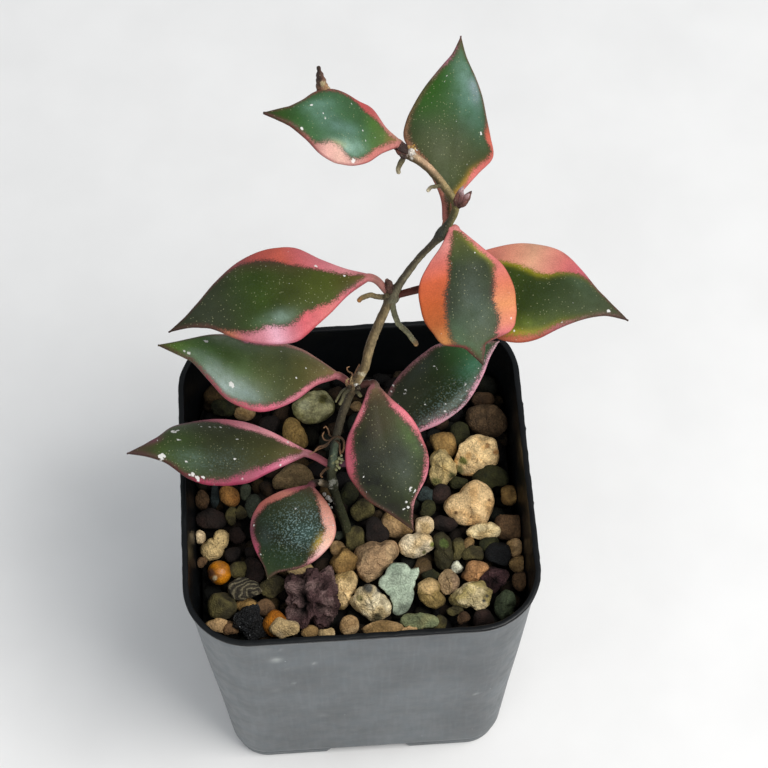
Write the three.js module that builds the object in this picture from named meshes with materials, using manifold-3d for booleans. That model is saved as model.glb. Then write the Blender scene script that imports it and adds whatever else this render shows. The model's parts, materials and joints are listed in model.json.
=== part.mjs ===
// A wax plant (hoya) with ten variegated leaves on one thin stem, growing in a
// square plastic nursery pot that is filled with mixed gravel.
// Millimetres, +Z up. The front of the pot faces -Y.

import * as THREE from 'three';
import { ConvexGeometry } from 'three/addons/geometries/ConvexGeometry.js';
import { mergeVertices } from 'three/addons/utils/BufferGeometryUtils.js';
import Module from 'manifold-3d';

const wasm = await Module();
wasm.setup();

// ---------------------------------------------------------------- dimensions

// The pot: a tapered square cup with round corners. Its wall steps in at a groove
// over the ring that it stands on, and its rim stands out a little, rounded on top.
const POT = {
  height: 84,
  topWidth: 75,
  baseWidth: 64,
  topCorner: 14,
  baseCorner: 8.5,
  cornerSteps: 5,
  wall: 1.2,
  floorLevel: 3.2, // underside of the floor, over the foot ring
  footInset: 0.5,
  footFlare: 0.1, // how much further out the ring reaches at its top
  groove: { start: -0.3, deepest: 0.1, end: 0.9, inset: 0.4 }, // heights from floorLevel
  rim: { depth: 1.3, step: 0.4, overhang: 0.4 },
  lip: { height: 0.4, inset: 0.3 },
  mouth: { height: 0.3, flare: 0.4 },
  notch: { width: 17, slope: 2, below: 0.4 }, // slope: how far each end leans
  drain: { radius: 3, spread: 18, sides: 16 },
};

const CLEAR = 0.3; // gap between pieces that touch
const SOCKET = 0.4; // gap round a stone in the bed
const STEP = 1e-3; // points closer than this become one
const OVERRUN = 1; // how far a cutter runs past the face that it cuts

// The gravel: a bed that fills the pot to this level, with pebbles on top.
const GRAVEL = {
  level: 68.6,
  pitch: 7.6, // distance between neighbouring pebbles of the bed
  reach: 4, // pebbles on each side of the middle one
  stagger: 0.2, // how far every other row is moved, as a share of the pitch
  pebble: 4.3, // mean radius of a pebble
  leastSize: 0.85,
  sizeRange: 0.3,
  seat: 0.4, // how far the lowest pebble's centre stands above the level
  seatRange: 1,
  jitter: 1.5,
  tiltRange: 30,
  points: 9, // corners of a pebble
  seed: 20611,
  pebbleSeed: 100,
};

// How the corners of a stone are strewn over its ellipsoid.
const STONE = { spin: 0.9, leastReach: 0.94, reachRange: 0.12, seed: 7001, seedStep: 13 };

// The whole plant is described about the pot's axis. This moves the object so
// that the origin lies under the middle of its bounding box.
const AXIS = new THREE.Vector3(-3.6, -10.5, 0);

// The stem's line from inside the gravel to its dry tip, with its radius there.
const STEM = [
  { at: [-1.6, -8.4, 47], radius: 1 },
  { at: [-1.9, -8, 60], radius: 1.05 },
  { at: [-2.4, -7.1, 72], radius: 1.05 },
  { at: [-5, -2, 84.6], radius: 0.95 },
  { at: [-4.9, -0.5, 90.1], radius: 0.9 },
  { at: [-2.9, 3.4, 100.9], radius: 0.85 },
  { at: [0.4, 6.7, 111.4], radius: 0.95 },
  { at: [2.7, 8.2, 115.4], radius: 0.95 },
  { at: [4.2, 10.6, 120.9], radius: 0.98 },
  { at: [8.9, 14.7, 132.6], radius: 0.9 },
  { at: [13.9, 17.9, 140.1], radius: 0.68 },
  { at: [18.9, 19.8, 146.5], radius: 0.7 },
  { at: [21.7, 22.6, 151.3], radius: 0.72 },
  { at: [19.4, 25.5, 154.7], radius: 0.82 },
  { at: [16.5, 28.1, 157.3], radius: 0.84 },
  { at: [12.7, 30.4, 159.3], radius: 0.85 },
  { at: [5.1, 37, 160.6], radius: 0.9 },
  { at: [-1.9, 40.4, 165.1], radius: 1.5 },
  { at: [-2.9, 41.4, 169.7], radius: 0.78 },
  { at: [-3.1, 42.3, 171.8], radius: 0.3 },
];
const STEM_BAR = { sides: 8, steps: 70 };

// The joints of the stem, where leaves and roots grow, are thicker.
const NODE = {
  lowest: [-5, -2, 84.6],
  lower: [-4.9, -0.5, 90.1],
  middle: [0.4, 6.7, 111.4],
  upper: [8.9, 14.7, 132.6],
  crown: [18.9, 19.8, 146.5],
  tip: [12.7, 30.4, 159.3],
};
const SWELLING = {
  reach: 1.6,
  extra: { lowest: 0.3, lower: 0.3, middle: 0.4, upper: 0.7, crown: 0.5, tip: 0.3 },
};

// Short tapered branches of the stem: two air roots at the upper node, one at
// the tip node, one on the bend, then the two lobes of a bud and the stub of an
// old stalk.
const BEND = [21.7, 22.6, 151.3];
const BRANCHES = [
  {
    from: NODE.upper, via: [[6.3, 14.4, 133.1], [4.5, 14.7, 133.5], [3.1, 14.5, 133.1]],
    to: [2, 14.1, 132.3], radius: 0.55, end: 0.45,
  },
  {
    from: NODE.upper, via: [[9.1, 12.5, 130.6], [9.8, 10.7, 128.9], [11.8, 9.6, 126.4]],
    to: [13.5, 8.3, 123.6], radius: 0.6, end: 0.5,
  },
  {
    from: NODE.tip, via: [[11.5, 29.3, 157.2], [11, 28.7, 156.2]],
    to: [11.2, 28.3, 155.2], radius: 0.6, end: 0.4,
  },
  {
    from: [19.4, 25.5, 154.7], via: [[17.8, 24.7, 155.5], [17, 24.5, 155.6]],
    to: [16.2, 23.6, 155.5], radius: 0.45, end: 0.35,
  },
  { from: BEND, via: [[22.8, 21.9, 153.5]], to: [24.6, 23.3, 155.2], radius: 0.9, end: 0.3 },
  { from: BEND, via: [[22.7, 23.3, 154.3]], to: [23.2, 24.4, 155.5], radius: 0.85, end: 0.4 },
  { from: NODE.upper, via: [[8.4, 15.1, 134.4]], to: [8.6, 15.9, 136.5], radius: 0.7, end: 0.6 },
];
const BRANCH_BAR = { sides: 6, steps: 7 };

// The leaves. A blade starts at base and runs for length. It sets off at
// heading (degrees from +X towards +Y) and rise (degrees above level), droops
// and swerves by that many degrees on its way, and is rolled about its midrib.
// bow bends its two halves down (below 0) or up. left and right are its half
// widths on either side of the midrib, seen from the stalk, at the stops.
const STOPS = [0, 0.1, 0.2, 0.3, 0.4, 0.5, 0.6, 0.7, 0.8, 0.85, 0.9, 1];
const LEAVES = [
  {
    name: 'leaf_tip_left', node: NODE.tip, base: [11, 31.4, 161.2],
    heading: 170, rise: 29, droop: 9, swerve: 18, roll: 0, length: 27.5, bow: -0.2,
    left: [1.2, 3.5, 6.4, 7.8, 8.3, 8.6, 7.6, 4.7, 2.6, 2, 1.5, 0.3],
    right: [0.9, 2.5, 6.2, 7.1, 7.9, 8.1, 7, 4.3, 2.1, 1.5, 1, 0],
  },
  {
    name: 'leaf_crown_back', node: NODE.crown, base: [20.1, 22.2, 147.4],
    heading: 79, rise: 15, droop: -2, swerve: 5, roll: -24, length: 38.2, bow: -0.45,
    left: [0.9, 1.6, 3.6, 6.5, 9.7, 9.8, 8.5, 6.6, 4.2, 2.9, 1.6, 0],
    right: [0.9, 1, 3.5, 6.3, 9.1, 8.3, 7.3, 6, 3.8, 2.5, 1.4, 0],
  },
  {
    name: 'leaf_crown_front', node: NODE.crown, base: [21, 19.6, 147.7],
    heading: 278, rise: -11, droop: 18, swerve: 2, roll: 0, length: 27.2, bow: -0.3,
    left: [1.5, 3.7, 5.85, 8.1, 9.1, 9.4, 9.1, 8.6, 6.8, 1.9, 1.05, 0],
    right: [1, 3, 5.8, 8, 9.1, 9.3, 9.1, 8, 6.5, 3.1, 1.9, 0],
  },
  {
    name: 'leaf_upper_left', node: NODE.upper, base: [4.1, 17.3, 136],
    heading: 183, rise: 9, droop: 27, swerve: 17, roll: -1, length: 41, bow: -0.4,
    left: [0.9, 3.5, 6.8, 9.2, 11.1, 11.05, 9.8, 7.2, 3.35, 2.2, 1.25, 0],
    right: [0.9, 2.6, 5.8, 9.8, 10.7, 10.6, 9.6, 7.05, 3.8, 2.5, 1.4, 0],
  },
  {
    name: 'leaf_upper_right', node: NODE.upper, base: [16, 14.5, 135.5],
    heading: 2, rise: 12, droop: 19, swerve: -37, roll: 2, length: 40.7, bow: -0.45,
    left: [0.9, 3.4, 7, 9.7, 11.5, 11.5, 10.6, 7.6, 4.1, 2.8, 1.65, 0],
    right: [0.9, 3.8, 7.5, 10.2, 11.9, 11.9, 10.2, 7, 3.85, 2.4, 1.2, 0],
  },
  {
    name: 'leaf_middle_left', node: NODE.middle, base: [-3, 8.3, 113.5],
    heading: 170, rise: 15, droop: 4, swerve: 5, roll: -14, length: 36.8, bow: -0.4,
    left: [0.9, 3.3, 7.5, 10.1, 11.6, 11.7, 10.4, 6.6, 2.9, 2.15, 1.5, 0],
    right: [0.9, 3.7, 6.4, 7.3, 7.1, 7.1, 7.3, 6.2, 3.9, 2.8, 1.8, 0],
  },
  {
    name: 'leaf_middle_front', node: NODE.middle, base: [4.8, 5.5, 112.5],
    heading: 272, rise: -14, droop: 31, swerve: 24, roll: -1, length: 31, bow: -0.1,
    left: [1, 3.3, 5.75, 7.2, 7.8, 8.1, 7.65, 6.1, 2.9, 1.8, 1.05, 0],
    right: [1.5, 3, 5.1, 7.3, 8.5, 8.9, 8, 6.6, 4, 2.9, 1.85, 0],
  },
  {
    name: 'leaf_lower_left', node: NODE.lower, base: [-10.5, 1.5, 93],
    heading: 169, rise: 15, droop: 3, swerve: 29, roll: -13, length: 38, bow: -0.5,
    left: [0.9, 3.7, 6.2, 8.3, 9.2, 9.8, 9.5, 7.4, 3.7, 2.6, 1.65, 0],
    right: [0.9, 2.95, 5.6, 7.5, 7.9, 8.1, 7.9, 6.8, 3.5, 2.4, 1.45, 0],
  },
  {
    name: 'leaf_lower_right', node: NODE.lower, base: [2.4, 0.4, 92.5],
    heading: 45, rise: 12, droop: 13, swerve: -14, roll: -13, length: 38.7, bow: 0.2,
    left: [0.9, 2.4, 3.9, 5.3, 6.6, 7.05, 7.1, 6.9, 5, 3.75, 2.4, 0],
    right: [0.9, 2.6, 4, 5.2, 6.7, 7.3, 7.2, 6.15, 4.4, 3.2, 1.95, 0],
  },
  {
    name: 'leaf_lowest', node: NODE.lowest, base: [-9.6, -3, 86],
    heading: 242, rise: -2, droop: 17, swerve: 0, roll: -14, length: 22.2, bow: -0.15,
    left: [1, 4.85, 7.5, 9.1, 9.75, 9.75, 9, 7.45, 5.1, 3.3, 1.6, 0],
    right: [1, 5.1, 7.9, 9.5, 9.7, 9.65, 9.1, 7.5, 5, 3.5, 2.05, 0],
  },
];

const BLADE = {
  rows: 18,
  columns: 6,
  midHalfThickness: 0.6,
  edgeHalfThickness: 0.31,
  ripple: 0.35, // height of the waves along the margin
  ripples: 2.5,
  crowding: 0.1, // draws the rows together towards both ends
  midribSteps: 96,
};
const PETIOLE = { rows: 4, radius: 0.7, reach: 0.4 };

// The larger stones, each a loose piece of its own: name, place, size (width,
// depth and height), turn in degrees about +Z, tilt towards the front, number
// of corners, and colour.
const STONES = [
  ['stone_tan_large', [24.6, -2.4, 71.6], [10.4, 8.8, 7], 12, 10, 18, 0xa98d62],
  ['stone_tan_mossy', [27.2, 9.5, 71.6], [9.8, 9.6, 7], -20, 8, 18, 0x9a8158],
  ['stone_tan_angular', [19.1, 6.6, 71.2], [5.6, 9, 6.4], 4, 12, 14, 0xa68c60],
  ['stone_tan_flat', [27.3, -9.6, 70.8], [7.6, 3.9, 4.4], 0, 0, 14, 0xb09468],
  ['stone_pale_front', [12.2, -10.7, 71.4], [7.4, 6.8, 6], 30, 6, 14, 0xb8a078],
  ['stone_grey_brown', [3, -14.4, 71.8], [9, 9.2, 7], 35, 5, 16, 0x7d6a54],
  ['stone_cream_angular', [1.2, -24.6, 71.4], [6.9, 8, 6.4], 20, 10, 14, 0xa89a80],
  ['stone_green_flake', [8.4, -22.4, 71.8], [6.9, 9.8, 3], -8, 14, 14, 0x93a68c],
  ['stone_lava', [-11.4, -23.2, 71.6], [9.4, 10.6, 7.6], 10, 0, 20, 0x4b3536],
  ['stone_tan_upright', [-3.9, -19.2, 71.2], [4.9, 7.2, 6], -10, 10, 14, 0xa88f66],
  ['stone_orange_ball', [-30.2, -15.4, 71.2], [5.2, 5.2, 5.2], 0, 0, 30, 0xb0661d],
  ['stone_tan_left', [-31, -8.3, 71.2], [5.8, 7.2, 5.6], -25, 8, 14, 0x9c865c],
  ['stone_striped', [-25, -20.2, 70.8], [6.8, 4.7, 4.6], 10, 6, 14, 0x6d6350],
  ['stone_charcoal', [-24.2, -27, 70.8], [5.2, 6.6, 5], 0, 0, 12, 0x17191a],
  ['stone_tan_round', [-3.5, -29.4, 70.8], [3.6, 4.4, 4.6], 0, 0, 14, 0x97805a],
  ['stone_tan_right', [14.9, -24.6, 71], [4.9, 6.8, 5.4], 0, 8, 14, 0x8f7b58],
  ['stone_grey_small', [19.3, -20.9, 70.8], [4.2, 5.2, 4.8], 0, 0, 12, 0x77695a],
  ['stone_cream_wide', [24, -25.4, 71], [7.8, 4.8, 5.2], 8, 8, 14, 0xb3a27c],
  ['stone_orange_brown', [24.5, -19.3, 71], [4.9, 5, 4.8], 0, 0, 14, 0xa9814f],
  ['stone_purple', [29.9, -20.2, 70.8], [4.7, 4.7, 4.8], 0, 0, 12, 0x53403a],
  ['stone_green', [30.4, -26.4, 70.4], [4.3, 6.4, 4.4], -15, 0, 12, 0x5f6a4f],
  ['stone_olive', [18.4, -13.2, 70.8], [4, 8.4, 4.8], -6, 0, 14, 0x5a5635],
  ['stone_brown_back', [-14.5, 7.1, 71.2], [9.4, 6, 6], 10, 6, 14, 0x8c6f52],
  ['stone_orange_tan', [-27.7, 3.1, 71], [4.8, 4.8, 4.8], 0, 0, 14, 0xa67a3f],
  ['stone_ochre', [-14.3, 16.4, 71.2], [4.8, 6.6, 5.6], 15, 0, 14, 0x8d7245],
  ['stone_green_tan', [-8, 23.4, 71.6], [9.4, 8.8, 7.2], -15, 8, 16, 0x8b8760],
  ['stone_brown_shade', [29.4, 20, 71.4], [9, 8.6, 7], 5, 6, 16, 0x6f5a44],
].map(([name, at, size, turn, tilt, points, colour]) => (
  { name, at, size, turn, tilt, points, colour }
));

const LOOKS = {
  pot: { color: 0x2a2f32, roughness: 0.45 },
  gravel: { color: 0x6e5f48, roughness: 0.9 },
  stone: { roughness: 0.85 },
  stem: { color: 0x6b6141, roughness: 0.7 },
  leaf: { color: 0x2c3a26, roughness: 0.35 },
};

// ------------------------------------------------------------ general shapes

const vector = (list) => new THREE.Vector3(...list);
const radians = THREE.MathUtils.degToRad;
const mix = THREE.MathUtils.lerp;

// A repeatable stream of numbers from 0 to 1.
function randomStream(seed) {
  const modulus = 2147483647;
  const multiplier = 16807;
  let state = seed;
  return () => {
    state = (state * multiplier) % modulus;
    return state / modulus;
  };
}

// An indexed geometry from points and index triples.
function meshOf(points, triangles) {
  const geometry = new THREE.BufferGeometry();
  const flat = points.flatMap((p) => [p.x, p.y, p.z]);
  geometry.setAttribute('position', new THREE.Float32BufferAttribute(flat, 3));
  geometry.setIndex(triangles.flat());
  return geometry;
}

// A closed skin over rings of equal length that run anticlockwise seen from
// the end, with a flat fan over the first and the last ring.
function loft(rings) {
  const count = rings[0].length;
  const points = rings.flat();
  const triangles = [];
  for (let i = 0; i + 1 < rings.length; i += 1) {
    for (let j = 0; j < count; j += 1) {
      const a = i * count + j;
      const b = i * count + ((j + 1) % count);
      triangles.push([a, b, b + count], [a, b + count, a + count]);
    }
  }
  for (const [start, isEnd] of [[0, false], [(rings.length - 1) * count, true]]) {
    const ring = points.slice(start, start + count);
    const middle = ring.reduce((sum, p) => sum.add(p), new THREE.Vector3()).divideScalar(count);
    points.push(middle);
    for (let j = 0; j < count; j += 1) {
      const a = start + j;
      const b = start + ((j + 1) % count);
      triangles.push(isEnd ? [a, b, points.length - 1] : [b, a, points.length - 1]);
    }
  }
  return meshOf(points, triangles);
}

// A level square ring with round corners.
function squareRing(width, corner, z) {
  const ring = [];
  const arcSteps = POT.cornerSteps;
  const offset = width / 2 - corner;
  for (let quarter = 0; quarter < 4; quarter += 1) {
    const start = quarter * 90;
    const middle = new THREE.Vector2();
    const centre = new THREE.Vector2(offset, offset).rotateAround(middle, radians(start));
    for (let k = 0; k <= arcSteps; k += 1) {
      const angle = radians(start + (90 * k) / arcSteps);
      ring.push(new THREE.Vector3(
        centre.x + corner * Math.cos(angle),
        centre.y + corner * Math.sin(angle),
        z,
      ));
    }
  }
  return ring;
}

// A round bar along a smooth line through the points, with its own radius at
// each place: radiusAt takes the share of the line (0 to 1) and the point.
function bar(points, radiusAt, { sides, steps }) {
  const curve = new THREE.CatmullRomCurve3(points, false, 'centripetal');
  const frames = curve.computeFrenetFrames(steps, false);
  const rings = [];
  for (let i = 0; i <= steps; i += 1) {
    const place = curve.getPointAt(i / steps);
    const radius = radiusAt(i / steps, place);
    const ring = [];
    for (let j = 0; j < sides; j += 1) {
      const angle = (2 * Math.PI * j) / sides;
      ring.push(place.clone()
        .addScaledVector(frames.normals[i], radius * Math.cos(angle))
        .addScaledVector(frames.binormals[i], radius * Math.sin(angle)));
    }
    rings.push(ring);
  }
  return loft(rings);
}

// A geometry as a solid that can be joined and cut, and back again.
function solid(geometry) {
  const bare = geometry.clone();
  bare.deleteAttribute('normal');
  bare.deleteAttribute('uv');
  const merged = mergeVertices(bare, STEP);
  return new wasm.Manifold(new wasm.Mesh({
    numProp: 3,
    vertProperties: new Float32Array(merged.attributes.position.array),
    triVerts: new Uint32Array(merged.index.array),
  }));
}

function geometryOf(manifold) {
  const mesh = manifold.getMesh();
  const positions = new Float32Array(mesh.vertProperties);
  const geometry = new THREE.BufferGeometry();
  geometry.setAttribute('position', new THREE.BufferAttribute(positions, 3));
  geometry.setIndex(new THREE.BufferAttribute(new Uint32Array(mesh.triVerts), 1));
  return geometry;
}

// The largest of the separate bodies in a solid: loose scraps are dropped.
function largestBody(manifold) {
  const bodies = manifold.decompose();
  return bodies.reduce((best, body) => (body.volume() > best.volume() ? body : best));
}

function piece(name, geometry, look) {
  const material = new THREE.MeshStandardMaterial({ ...look, metalness: 0 });
  const mesh = new THREE.Mesh(geometry, material);
  mesh.name = name;
  return mesh;
}

// --------------------------------------------------------------------- pot

// Width and corner radius of the pot's outside at a height, drawn in by inset.
function potRing(z, inset) {
  const share = z / POT.height;
  const width = mix(POT.baseWidth, POT.topWidth, share) - 2 * inset;
  const corner = mix(POT.baseCorner, POT.topCorner, share) - inset;
  return squareRing(width, corner, z);
}

function potGeometry() {
  const { height, wall, footInset, groove, rim, lip, mouth } = POT;
  const foot = POT.floorLevel;
  const outside = solid(loft([
    potRing(0, footInset),
    potRing(foot + groove.start, footInset - POT.footFlare),
    potRing(foot + groove.deepest, footInset + groove.inset),
    potRing(foot + groove.end, 0),
    potRing(height - rim.depth - rim.step, rim.overhang),
    potRing(height - rim.depth, 0),
    potRing(height - lip.height, 0),
    potRing(height, lip.inset),
  ]));
  const inside = solid(loft([
    potRing(foot + wall, wall),
    potRing(height - mouth.height, wall),
    potRing(height + OVERRUN, wall - mouth.flare),
  ]));
  const underside = solid(loft([
    potRing(-OVERRUN, footInset + wall),
    potRing(foot, footInset + wall),
  ]));
  let pot = outside.subtract(inside).subtract(underside);

  // A notch through the foot ring in the middle of each side.
  const half = POT.notch.width / 2;
  const top = foot - POT.notch.below;
  const outline = new THREE.Shape([
    new THREE.Vector2(-half - POT.notch.slope, -OVERRUN),
    new THREE.Vector2(half + POT.notch.slope, -OVERRUN),
    new THREE.Vector2(half, top),
    new THREE.Vector2(-half, top),
  ]);
  for (const turn of [0, 90]) {
    const notch = new THREE.ExtrudeGeometry(outline, { depth: POT.topWidth, bevelEnabled: false });
    notch.translate(0, 0, -POT.topWidth / 2);
    notch.rotateX(Math.PI / 2);
    notch.rotateZ(radians(turn));
    pot = pot.subtract(solid(notch));
  }

  // Drain holes through the floor: one in the middle and one near each corner.
  const { radius, spread, sides } = POT.drain;
  const corners = [[spread, spread], [-spread, spread], [-spread, -spread], [spread, -spread]];
  for (const [x, y] of [[0, 0], ...corners]) {
    const hole = new THREE.CylinderGeometry(radius, radius, wall + 2 * OVERRUN, sides);
    hole.rotateX(Math.PI / 2);
    hole.translate(x, y, foot + wall / 2);
    pot = pot.subtract(solid(hole));
  }
  return geometryOf(pot);
}

// ------------------------------------------------------------------- stem

// The stem's radius at a place: taken from the nearest stretch between two
// stops, and thicker at the nodes.
function stemRadius(place) {
  let best = { distance: Infinity, radius: 0 };
  for (let i = 0; i + 1 < STEM.length; i += 1) {
    const line = new THREE.Line3(vector(STEM[i].at), vector(STEM[i + 1].at));
    const along = line.closestPointToPointParameter(place, true);
    const distance = line.at(along, new THREE.Vector3()).distanceTo(place);
    if (distance < best.distance) {
      best = { distance, radius: mix(STEM[i].radius, STEM[i + 1].radius, along) };
    }
  }
  const swellings = Object.entries(NODE).map(([name, node]) => {
    const away = place.distanceTo(vector(node)) / SWELLING.reach;
    return SWELLING.extra[name] * Math.exp(-away * away);
  });
  return best.radius + Math.max(...swellings);
}

function stemBar(extra) {
  const points = STEM.map((stop) => vector(stop.at));
  return solid(bar(points, (share, place) => stemRadius(place) + extra, STEM_BAR));
}

function branchBar(branch, extra) {
  const points = [branch.from, ...branch.via, branch.to].map(vector);
  return solid(bar(points, (share) => mix(branch.radius, branch.end, share) + extra, BRANCH_BAR));
}

// The stem with its branches, thickened by extra on every side.
function stemSolid(extra) {
  return BRANCHES.reduce((stem, branch) => stem.add(branchBar(branch, extra)), stemBar(extra));
}

// ----------------------------------------------------------------- leaves

// Unit vectors along a blade, across it and out of its upper face.
function bladeFrame(leaf, t) {
  const heading = radians(leaf.heading + leaf.swerve * t);
  const pitch = radians(leaf.rise - leaf.droop * t);
  const roll = radians(leaf.roll);
  const along = new THREE.Vector3(
    Math.cos(pitch) * Math.cos(heading),
    Math.cos(pitch) * Math.sin(heading),
    Math.sin(pitch),
  );
  const level = new THREE.Vector3(Math.sin(heading), -Math.cos(heading), 0);
  const upright = new THREE.Vector3().crossVectors(level, along);
  const across = level.clone().applyAxisAngle(along, -roll);
  const up = upright.clone().applyAxisAngle(along, -roll);
  return { along, across, up };
}

// Half the blade's width on one side: a smooth curve through the widths at the
// stops, whose slope at each one is that between its two neighbours.
function sideReach(widths, t) {
  const last = STOPS.length - 1;
  const next = STOPS.findIndex((stop) => stop > t);
  const i = next < 0 ? last - 1 : next - 1;
  const slope = (k) => {
    const before = Math.max(k - 1, 0);
    const after = Math.min(k + 1, last);
    return (widths[after] - widths[before]) / (STOPS[after] - STOPS[before]);
  };
  const gap = STOPS[i + 1] - STOPS[i];
  const s = (t - STOPS[i]) / gap;
  const r = 1 - s;
  const straight = r * r * (1 + 2 * s) * widths[i] + s * s * (1 + 2 * r) * widths[i + 1];
  const curved = s * r * gap * (r * slope(i) - s * slope(i + 1));
  return Math.max(straight + curved, BLADE.edgeHalfThickness);
}

const bladeReach = (leaf, t) => ({ left: sideReach(leaf.left, t), right: sideReach(leaf.right, t) });

// Points of the blade's midrib at the shares in stops, by small steps.
function midrib(leaf, stops) {
  const steps = BLADE.midribSteps;
  const places = [vector(leaf.base)];
  for (let i = 0; i < steps; i += 1) {
    const { along } = bladeFrame(leaf, (i + 0.5) / steps);
    places.push(places[i].clone().addScaledVector(along, leaf.length / steps));
  }
  return stops.map((t) => {
    const i = Math.min(Math.floor(t * steps), steps - 1);
    return places[i].clone().lerp(places[i + 1], t * steps - i);
  });
}

// One row of a leaf across its midrib: the upper and the lower points. reach is
// the half width to the left and to the right, and lift takes the side (-1 to 1)
// and the half width there.
function leafRow(centre, { across, up }, reach, midHalf, lift) {
  const upper = [];
  const lower = [];
  for (let j = 0; j <= BLADE.columns; j += 1) {
    const side = (2 * j) / BLADE.columns - 1;
    const width = side > 0 ? reach.right : reach.left;
    const half = mix(BLADE.edgeHalfThickness, midHalf, Math.sqrt(1 - side * side));
    const place = centre.clone()
      .addScaledVector(across, width * side)
      .addScaledVector(up, lift(side, width));
    upper.push(place.clone().addScaledVector(up, half));
    lower.push(place.clone().addScaledVector(up, -half));
  }
  return { upper, lower };
}

// Closes rows of upper and lower points into a thin solid. Both faces are split
// into triangles alike, so that they never cross.
function leafMesh(rows) {
  const wide = BLADE.columns + 1;
  const points = rows.flatMap((row) => [...row.upper, ...row.lower]);
  const top = (i, j) => i * 2 * wide + j;
  const under = (i, j) => top(i, j) + wide;
  const triangles = [];
  const quad = (a, b, c, d) => triangles.push([a, b, c], [a, c, d]);
  const last = rows.length - 1;
  const edge = BLADE.columns;
  for (let i = 0; i < last; i += 1) {
    for (let j = 0; j < edge; j += 1) {
      quad(top(i, j), top(i, j + 1), top(i + 1, j + 1), top(i + 1, j));
      quad(under(i + 1, j + 1), under(i, j + 1), under(i, j), under(i + 1, j));
    }
    quad(top(i, edge), under(i, edge), under(i + 1, edge), top(i + 1, edge));
    quad(top(i, 0), top(i + 1, 0), under(i + 1, 0), under(i, 0));
  }
  for (let j = 0; j < edge; j += 1) {
    quad(top(0, j), under(0, j), under(0, j + 1), top(0, j + 1));
    quad(top(last, j), top(last, j + 1), under(last, j + 1), under(last, j));
  }
  return meshOf(points, triangles);
}

// A whole leaf: its stalk from the stem's node, and its blade.
function leafGeometry(leaf, clearance) {
  const start = bladeFrame(leaf, 0);
  const node = vector(leaf.node);
  const base = vector(leaf.base);
  const span = base.distanceTo(node);
  const outward = base.clone().sub(node).normalize();
  const stalk = new THREE.CubicBezierCurve3(
    node,
    node.clone().addScaledVector(outward, PETIOLE.reach * span),
    base.clone().addScaledVector(start.along, -PETIOLE.reach * span),
    base,
  );
  const rows = [];
  const foot = bladeReach(leaf, 0);
  const flat = () => 0;
  for (let i = 0; i < PETIOLE.rows; i += 1) {
    const share = i / PETIOLE.rows;
    const blend = share * share;
    const tangent = stalk.getTangent(share);
    const across = start.across.clone().projectOnPlane(tangent).normalize();
    const up = new THREE.Vector3().crossVectors(across, tangent);
    const reach = {
      left: mix(PETIOLE.radius, foot.left, blend),
      right: mix(PETIOLE.radius, foot.right, blend),
    };
    const midHalf = mix(PETIOLE.radius, BLADE.midHalfThickness, blend);
    rows.push(leafRow(stalk.getPoint(share), { across, up }, reach, midHalf, flat));
  }
  const stops = Array.from({ length: BLADE.rows + 1 }, (_, i) => {
    const x = i / BLADE.rows;
    return x - BLADE.crowding * Math.sin(2 * Math.PI * x);
  });
  const places = midrib(leaf, stops);
  stops.forEach((t, i) => {
    const wave = BLADE.ripple * Math.sin(Math.PI * t);
    const lift = (side, width) => side * side * (
      (width * leaf.bow) / 2 + wave * Math.sin(2 * Math.PI * BLADE.ripples * t + side)
    );
    const midHalf = mix(BLADE.midHalfThickness, BLADE.edgeHalfThickness, t ** 4);
    rows.push(leafRow(places[i], bladeFrame(leaf, t), bladeReach(leaf, t), midHalf, lift));
  });
  return geometryOf(largestBody(solid(leafMesh(rows)).subtract(clearance)));
}

// ----------------------------------------------------------------- gravel

// A broken stone: the convex hull of points strewn over an ellipsoid. grow
// makes it that much larger on every side.
function stoneGeometry(stone, seed, grow) {
  const random = randomStream(seed);
  const golden = Math.PI * (3 - Math.sqrt(5));
  const points = [];
  for (let i = 0; i < stone.points; i += 1) {
    const z = 1 - (2 * (i + 0.5)) / stone.points;
    const angle = i * golden + STONE.spin * random();
    const ring = Math.sqrt(1 - z * z);
    const reach = STONE.leastReach + STONE.reachRange * random();
    points.push(new THREE.Vector3(
      reach * ring * Math.cos(angle) * (stone.size[0] / 2 + grow),
      reach * ring * Math.sin(angle) * (stone.size[1] / 2 + grow),
      reach * z * (stone.size[2] / 2 + grow),
    ));
  }
  const geometry = new ConvexGeometry(points);
  geometry.rotateX(radians(stone.tilt));
  geometry.rotateZ(radians(stone.turn));
  geometry.translate(...stone.at);
  return geometry;
}

// The pebbles on the bed's top: a loose grid whose rows are staggered.
function pebbleSolids() {
  const random = randomStream(GRAVEL.seed);
  const { reach, pitch, jitter } = GRAVEL;
  const pebbles = [];
  for (let row = -reach; row <= reach; row += 1) {
    for (let column = -reach; column <= reach; column += 1) {
      const shift = row % 2 === 0 ? -GRAVEL.stagger : GRAVEL.stagger;
      const x = (column + shift) * pitch + (random() - 0.5) * jitter;
      const y = row * pitch + (random() - 0.5) * jitter;
      const size = [0, 1, 2].map(() => (
        2 * GRAVEL.pebble * (GRAVEL.leastSize + GRAVEL.sizeRange * random())
      ));
      const z = GRAVEL.level + GRAVEL.seat + GRAVEL.seatRange * random();
      const turn = 360 * random();
      const tilt = GRAVEL.tiltRange * random();
      const pebble = { at: [x, y, z], size, turn, tilt, points: GRAVEL.points };
      pebbles.push(solid(stoneGeometry(pebble, GRAVEL.pebbleSeed + pebbles.length, 0)));
    }
  }
  return pebbles;
}

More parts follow.
